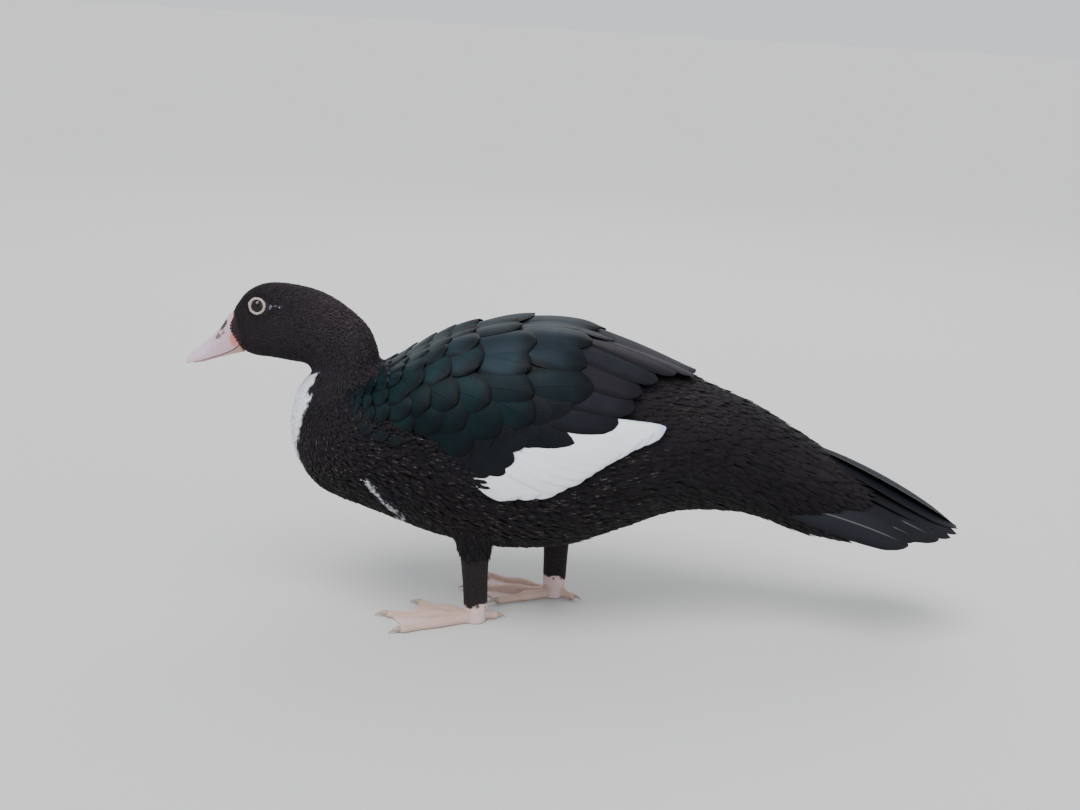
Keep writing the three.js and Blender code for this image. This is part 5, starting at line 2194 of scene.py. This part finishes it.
@dataclass(frozen=True)
class Leg:
    """One leg: a scaly shank, a webbed foot, four claws and the feathers at its top.

    The foot and the hip are places in plan, and `pale_to` is how high the pale skin reaches. The
    shank has its depth and width at the ankle and at the hip. Scutes have their spacing and height.
    """

    side: Side
    foot: tuple[float, float]
    hip_at: tuple[float, float]
    pale_to: float
    toes: tuple[Toe, ...] = (
        Toe("inner", 27, 0.058, 0.0046), Toe("middle", -2, 0.078, 0.005), Toe("outer", -29, 0.072, 0.0046),
    )
    hind: Toe = Toe("hind", 158, 0.021, 0.0036, 0.005)
    ankle: float = 0.017
    hip: float = 0.086
    shank: tuple[float, ...] = (0.0105, 0.007, 0.015, 0.011)
    sole: float = 0.009
    low: float = 0.0002
    toe_height: tuple[float, float] = (0.0095, 0.0055)
    toe_inset: float = 0.004
    toe_level: float = 0.42
    web_low: float = 0.0013
    web_thick: float = 0.0017
    web_root: float = 0.007
    web_reach: float = 0.95
    web_scallop: float = 0.006
    web_sag: float = 0.0006
    web_fold: float = 0.00018
    claw_long: float = 0.009
    claw_half: float = 0.0023
    claw_droop: float = 0.0026
    claw_clear: float = 0.0006
    hind_claw: float = 0.78
    shank_scutes: tuple[float, float] = (0.0024, 0.0003)
    toe_scutes: tuple[float, float] = (0.0019, 0.00028)
    voxel: float = 0.00065
    eased: int = 5
    thigh_cover: float = 0.0022
    thigh_gap: float = 0.0018
    seed: int = 70

    def middle(self, up: Array) -> Array:
        """The shank's middle line in plan, by share of its height."""
        foot = np.array(self.foot)
        return foot + up[..., None] * (np.array(self.hip_at) - foot)

    def shank_point(self, share: Array, angle: Array) -> Array:
        """Points of the shank.

        Args:
            share: How far down it they lie.
            angle: The angle from the back of the leg.

        Returns:
            The points.
        """
        up = 1.0 - share * 1.02
        depth = self.shank[0] + (self.shank[2] - self.shank[0]) * up**2
        width = self.shank[1] + (self.shank[3] - self.shank[1]) * up**2
        x, y = self.middle(up).T
        z = self.ankle + (self.hip - self.ankle) * up
        return np.stack([x + depth * np.cos(angle), y + width * np.sin(angle), z], -1)

    def ankle_point(self, share: Array, angle: Array) -> Array:
        """Points of the ankle.

        Args:
            share: How far up it they lie.
            angle: The angle from the back of the leg.

        Returns:
            The points.
        """
        depth, width = (self.sole + (self.shank[i] - self.sole) * share for i in (0, 1))
        z = np.maximum(self.ankle * share, self.low)
        return np.stack([self.foot[0] + depth * np.cos(angle), self.foot[1] + width * np.sin(angle), z], -1)

    def out_from(self, turn: Number, reach: Number) -> Array:
        """The place on the floor at a reach out along a heading.

        Args:
            turn: The heading in degrees out from straight ahead.
            reach: How far out.

        Returns:
            The place, with a z of 0.
        """
        turn = np.radians(turn)
        x = self.foot[0] - np.cos(turn) * reach
        y = self.foot[1] - self.side.value * np.sin(turn) * reach
        return np.stack(np.broadcast_arrays(x, y, 0.0 * x), -1)

    def across(self, turn: float) -> Array:
        """The direction across a heading in degrees."""
        turn = math.radians(turn)
        return np.array((math.sin(turn), -self.side.value * math.cos(turn), 0.0))

    def toe_points(self, toe: Toe, share: Array, angle: Array) -> Array:
        """Points of a toe with its joints, rounded at the end and flat under the sole.

        Args:
            toe: The toe.
            share: How far along it they lie.
            angle: The angle round it from its top.

        Returns:
            The points.
        """
        knuckle = 1 + 0.14 * np.cos(share * 4 * math.pi)
        end = np.sqrt(np.clip(1 - np.clip((share - 0.93) / 0.07, 0, 1) ** 2, 0.02, 1))
        half = toe.half * (1.15 - 0.43 * share) * knuckle * end
        height = (self.toe_height[0] + (self.toe_height[1] - self.toe_height[0]) * share) * knuckle
        point = self.out_from(toe.turn, -self.toe_inset + (toe.reach + self.toe_inset) * share)
        point = point + self.across(toe.turn) * (half * np.sin(angle))[:, None]
        level = self.toe_level + (1 - self.toe_level) * np.cos(angle) * end
        point[:, 2] = np.maximum(self.low, toe.rise * (1 - share) + height * level)
        return point

    def web_points(self, first: Toe, second: Toe, along: Array, angle: Array) -> Array:
        """Points of the skin between two toes.

        Args:
            first: The toe on its one side.
            second: The toe on its other side.
            along: How far from the foot's root they lie.
            angle: The angle round the flat tube that the web is.

        Returns:
            The points.
        """
        up, across = 0.5 + 0.5 * np.sin(angle), 0.5 + 0.5 * filled(np.cos(angle), np.full_like(angle, 6.0))
        a, b = (self.out_from(toe.turn, toe.reach * self.web_reach) for toe in (first, second))
        root = self.out_from(first.turn + (second.turn - first.turn) * across, self.web_root)
        front, arc = a + (b - a) * across[:, None], np.sin(across * math.pi)
        inward = self.web_scallop * arc / np.linalg.norm(front - root, axis=-1)
        front = front + (root - front) * inward[:, None]
        point = root + (front - root) * along[:, None]
        sag, fold = self.web_sag * arc * along, self.web_fold * np.sin(along * 40 + across * 9) * arc
        point[:, 2] = self.web_low + (up - 0.35) * self.web_thick * 0.9 - sag + fold
        return point

    def claw_points(self, toe: Toe, share: Array, angle: Array) -> Array:
        """Points of the claw ahead of a toe.

        Args:
            toe: The toe.
            share: How far along the claw they lie, from its root in the toe.
            angle: The angle round it from its top.

        Returns:
            The points.
        """
        size = self.hind_claw if toe is self.hind else 1.0
        reach = share * 1.25 - 0.25
        ahead = np.clip(reach, 0, 1)
        half = size * self.claw_half * (1 - 0.85 * ahead) * np.clip(share / 0.06, 0.3, 1) ** 0.5
        middle = self.claw_clear + self.claw_half + self.claw_droop * (0.4 - ahead**2)
        point = self.out_from(toe.turn, toe.reach + size * self.claw_long * reach)
        point = point + self.across(toe.turn) * (half * np.sin(angle))[:, None]
        point[:, 2] = np.maximum(0.0003, middle + half * np.cos(angle))
        return point

    def skin(self) -> Piece:
        """Builds the skin of the shank and the foot as one smooth mesh.

        Returns:
            The piece.
        """
        bm = bmesh.new()
        tube(bm, 48, 60, self.shank_point)
        tube(bm, 48, 16, self.ankle_point)
        for toe in (*self.toes, self.hind):
            tube(bm, 32, 60, partial(self.toe_points, toe))
        for pair in zip(self.toes, self.toes[1:]):
            tube(bm, 64, 60, partial(self.web_points, *pair))
        piece = piece_from(f"leg_skin_{self.side.word}", bm)
        remesh = piece.modifiers.new("join", "REMESH")
        remesh.mode, remesh.voxel_size = "VOXEL", self.voxel
        smoothing = piece.modifiers.new("ease", "SMOOTH")
        smoothing.factor, smoothing.iterations = 0.5, self.eased
        shape = bpy.data.meshes.new_from_object(piece.evaluated_get(bpy.context.evaluated_depsgraph_get()))
        piece.modifiers.clear()
        rough, piece.data = piece.data, shape
        bpy.data.meshes.remove(rough)
        shape.name = piece.name
        shape.shade_smooth()
        self.scale(shape)
        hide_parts(f"leg_{self.side.word}", f"foot_{self.side.word}")
        return piece

    def scale(self, mesh: bpy.types.Mesh) -> None:
        """Raises rings of scutes on the shank and across the toes, and notes where the toes are.

        Args:
            mesh: The skin, which is changed.
        """
        points = np.array([v.co for v in mesh.vertices], np.float32)
        normals = np.array([v.vector for v in mesh.vertex_normals], np.float32)
        x, y, z = points[:, 0] - SHIFT, points[:, 1], points[:, 2]
        middle = self.middle(np.clip((z - self.ankle) / (self.hip - self.ankle), 0, 1))
        round_ = np.arctan2(y - middle[:, 1], x - middle[:, 0])
        wave = z / self.shank_scutes[0] + 0.35 * np.sin(3 * round_) + 0.3 * np.sin(z * 400)
        reach = np.hypot(x - self.foot[0], y - self.foot[1])
        ring, band = (np.abs(np.sin(w * math.pi)) ** 0.5 - 0.8 for w in (wave, reach / self.toe_scutes[0]))
        upper = above(normals[:, 2], 0.2, 0.4) * above(reach, 0.01, 0.006) * above(z, 0.0042, 0.0012)
        height = self.shank_scutes[1] * ring * above(z, 0.016, 0.006)
        height += self.toe_scutes[1] * band * upper * (z < 0.016)
        moved = points + normals * height[:, None]
        moved[:, 2] = np.maximum(moved[:, 2], 0.0001)
        mesh.vertices.foreach_set("co", moved.astype(np.float32).ravel())
        near = np.zeros(len(points), np.float32)
        for toe in (*self.toes, self.hind):
            start, end = (self.out_from(toe.turn, far)[:2] for far in (0.0, toe.reach))
            line = to_line(np.stack([x, y], -1), start, end)
            near = np.maximum(near, smooth(1.6 - line / toe.half) * above(z, 0.0135, -0.004))
        mesh.attributes.new("toe", "FLOAT", "POINT").data.foreach_set("value", near.astype(np.float32))
        mesh.update()

    def thigh(self, form: Form) -> Coat:
        """Lays the feathers of the thigh, which run down and back to the top of the shank.

        Args:
            form: The thigh's outer shape.

        Returns:
            Their coat.
        """
        seed = self.seed + self.side.value
        draw = np.random.default_rng(seed)
        t, angle = spread(form, 0.05, 0.82, lambda t, _: np.full_like(t, self.thigh_gap), seed + 1)
        amount = len(t)
        roots = Roots(
            t, angle, length=draw.normal(0.011, 0.0014, amount), half=draw.normal(0.0016, 0.0002, amount),
            turn=draw.normal(0, 0.15, amount), root_out=np.full(amount, -self.thigh_cover),
            tip_out=draw.normal(0.0003, 0.0005, amount),
        )
        coat, tone = Coat(f"coat_thigh_{self.side.word}"), shares(draw, 0.35, 0.25, amount)
        fleck = (draw.uniform(0, 1, amount) < 0.16) * draw.uniform(0.3, 1, amount)
        coat.add(lay(form, roots, SOFT)[0], SOFT, unwrapped(round_share(angle), t), tone=tone, fleck=fleck,
                 hue=draw.uniform(0, 1, amount))
        return coat

    def build(self) -> None:
        """Makes the skin, the claws and the feathers."""
        word, form = self.side.word, ThighForm(self)
        dress(self.skin(), LegFinish(f"leg_skin_{word}", self.pale_to))
        for toe in (*self.toes, self.hind):
            bm = bmesh.new()
            tube(bm, 32, 40, partial(self.claw_points, toe))
            claw = piece_from(f"claw_horn_{word}_{toe.name}", bm)
            if toe is not self.hind:
                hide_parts(f"claw_{word}_{toe.name}")
            dress(claw, ClawFinish())
        bm = bmesh.new()
        tube(bm, 48, 24, lambda share, angle: form.point(share * 0.96, angle, -self.thigh_cover))
        flesh = piece_from(f"thigh_skin_{word}", bm)
        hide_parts(f"leg_{word}")
        dress(flesh, DownFinish())
        dress(self.thigh(form).build(), BODY_FINISH)


@dataclass
class ThighForm(Form):
    """The feathered thigh round the top of the leg; the first parameter runs from its top to its bottom."""

    leg: Leg
    top: float = 0.1
    bottom: float = 0.0625
    sizes: Pairs = ((0.033, 0.02), (0.024, 0.0165), (0.0165, 0.012), (0.0134, 0.0096))
    step = (0.02, 0.03)

    def point(self, t: Array, angle: Array, out: Number = 0.0) -> Array:
        """A point over the thigh.

        Args:
            t: The share of its height, from its top.
            angle: The angle from the back of the leg.
            out: The height over the surface.

        Returns:
            The points.
        """
        t, angle, out = np.broadcast_arrays(t, angle, out)
        size = through(np.array(self.sizes), t * (len(self.sizes) - 1)) + out[..., None]
        z = self.top + (self.bottom - self.top) * t
        middle = self.leg.middle((z - self.leg.ankle) / (self.leg.hip - self.leg.ankle))
        x, y = (middle[..., i] + size[..., i] * turn for i, turn in enumerate((np.cos(angle), np.sin(angle))))
        return np.stack([x, y, z], -1)


@dataclass(frozen=True)
class FloorFinish(Finish):
    """The studio's plain pale floor."""

    name: str = "floor"
    dark: Colour = (0.56, 0.56, 0.555)
    light: Colour = (0.58, 0.58, 0.575)

    def paint(self, n: Nodes) -> dict[str, object]:
        """Paints it in two pale greys."""
        return {"Base Color": n.mottled(0.4, self.dark, self.light, 3.0), "Roughness": 0.85}


@dataclass(frozen=True)
class Studio:
    """The floor, the soft light and the camera at the photograph's angle.

    A lamp has its name, its place, its size and its power.
    """

    aim: tuple[float, float, float] = (0.0, 0.0, 0.188)
    distance: float = 1.25
    elevation: float = math.radians(15.0)
    roll: float = math.radians(3.3)
    lens: float = 48.43
    sensor: float = 36.0
    near: float = 0.05
    sun_power: float = 2.7
    sun_angle: float = math.radians(38)
    sun_heading: tuple[float, float, float] = (0.4, 0.75, -1.5)
    lamps: tuple = (("fill", (1.9, -1.2, 1.2), 1.8, 10.0), ("rim", (0.3, 1.9, 1.9), 1.8, 16.0))
    sky: Colour = (0.89, 0.91, 0.94)
    floor: float = 60.0

    def build(self) -> None:
        """Makes the stage."""
        aim = Vector(self.aim) + Vector((SHIFT, 0, 0))
        self.camera(aim)
        bm = bmesh.new()
        bmesh.ops.create_grid(bm, x_segments=4, y_segments=4, size=self.floor)
        floor = piece_from("floor", bm)
        floor.data.materials.append(material_of(FloorFinish()))
        data = bpy.data.lights.new("key", "SUN")
        data.energy, data.angle = self.sun_power, self.sun_angle
        linked("key", data).rotation_euler = Vector(self.sun_heading).to_track_quat("-Z", "Y").to_euler()
        for name, place, size, power in self.lamps:
            data = bpy.data.lights.new(name, "AREA")
            data.size, data.energy = size, power
            lamp = linked(name, data)
            lamp.location = Vector(place) + Vector((SHIFT, 0, 0))
            lamp.rotation_euler = (aim - lamp.location).to_track_quat("-Z", "Y").to_euler()
        world = bpy.data.worlds.new("studio")
        world.use_nodes = True
        back = world.node_tree.nodes["Background"]
        Nodes(world.node_tree).put(back.inputs, {"Color": self.sky, "Strength": 1.0})
        bpy.context.scene.world = world

    def camera(self, aim: Vector) -> None:
        """Places the camera.

        Args:
            aim: What it looks at.
        """
        data = bpy.data.cameras.new("camera")
        data.lens, data.sensor_width, data.clip_start = self.lens, self.sensor, self.near
        camera = linked("camera", data)
        back = Vector((0, -math.cos(self.elevation), math.sin(self.elevation)))
        camera.location = aim + back * self.distance
        camera.rotation_mode = "QUATERNION"
        turned = Matrix.Rotation(self.roll, 4, "Z").to_quaternion()
        camera.rotation_quaternion = (-back).to_track_quat("-Z", "Y") @ turned
        bpy.context.scene.camera = camera


def main() -> None:
    """Builds the duck piece by piece."""
    logging.basicConfig(level=logging.INFO, format="%(name)s %(message)s")
    Studio().build()
    body, wing = BodyForm(), WingForm()
    markings = Markings(body)
    skin = Skin(body, wing, markings)
    skin.build()
    BodyPlumage(body, wing, skin, markings).build()
    for side in Side:
        FoldedWing(body, wing, side).build()
    TailFan(body).build()
    Bill().build()
    for side in Side:
        Eye(side).build()
    Leg(Side.LEFT, foot=(-0.046, -0.035), hip_at=(-0.05, -0.041), pale_to=0.0175).build()
    Leg(Side.RIGHT, foot=(0.022, 0.032), hip_at=(0.022, 0.041), pale_to=0.0205).build()


if __name__ == "__main__":
    main()
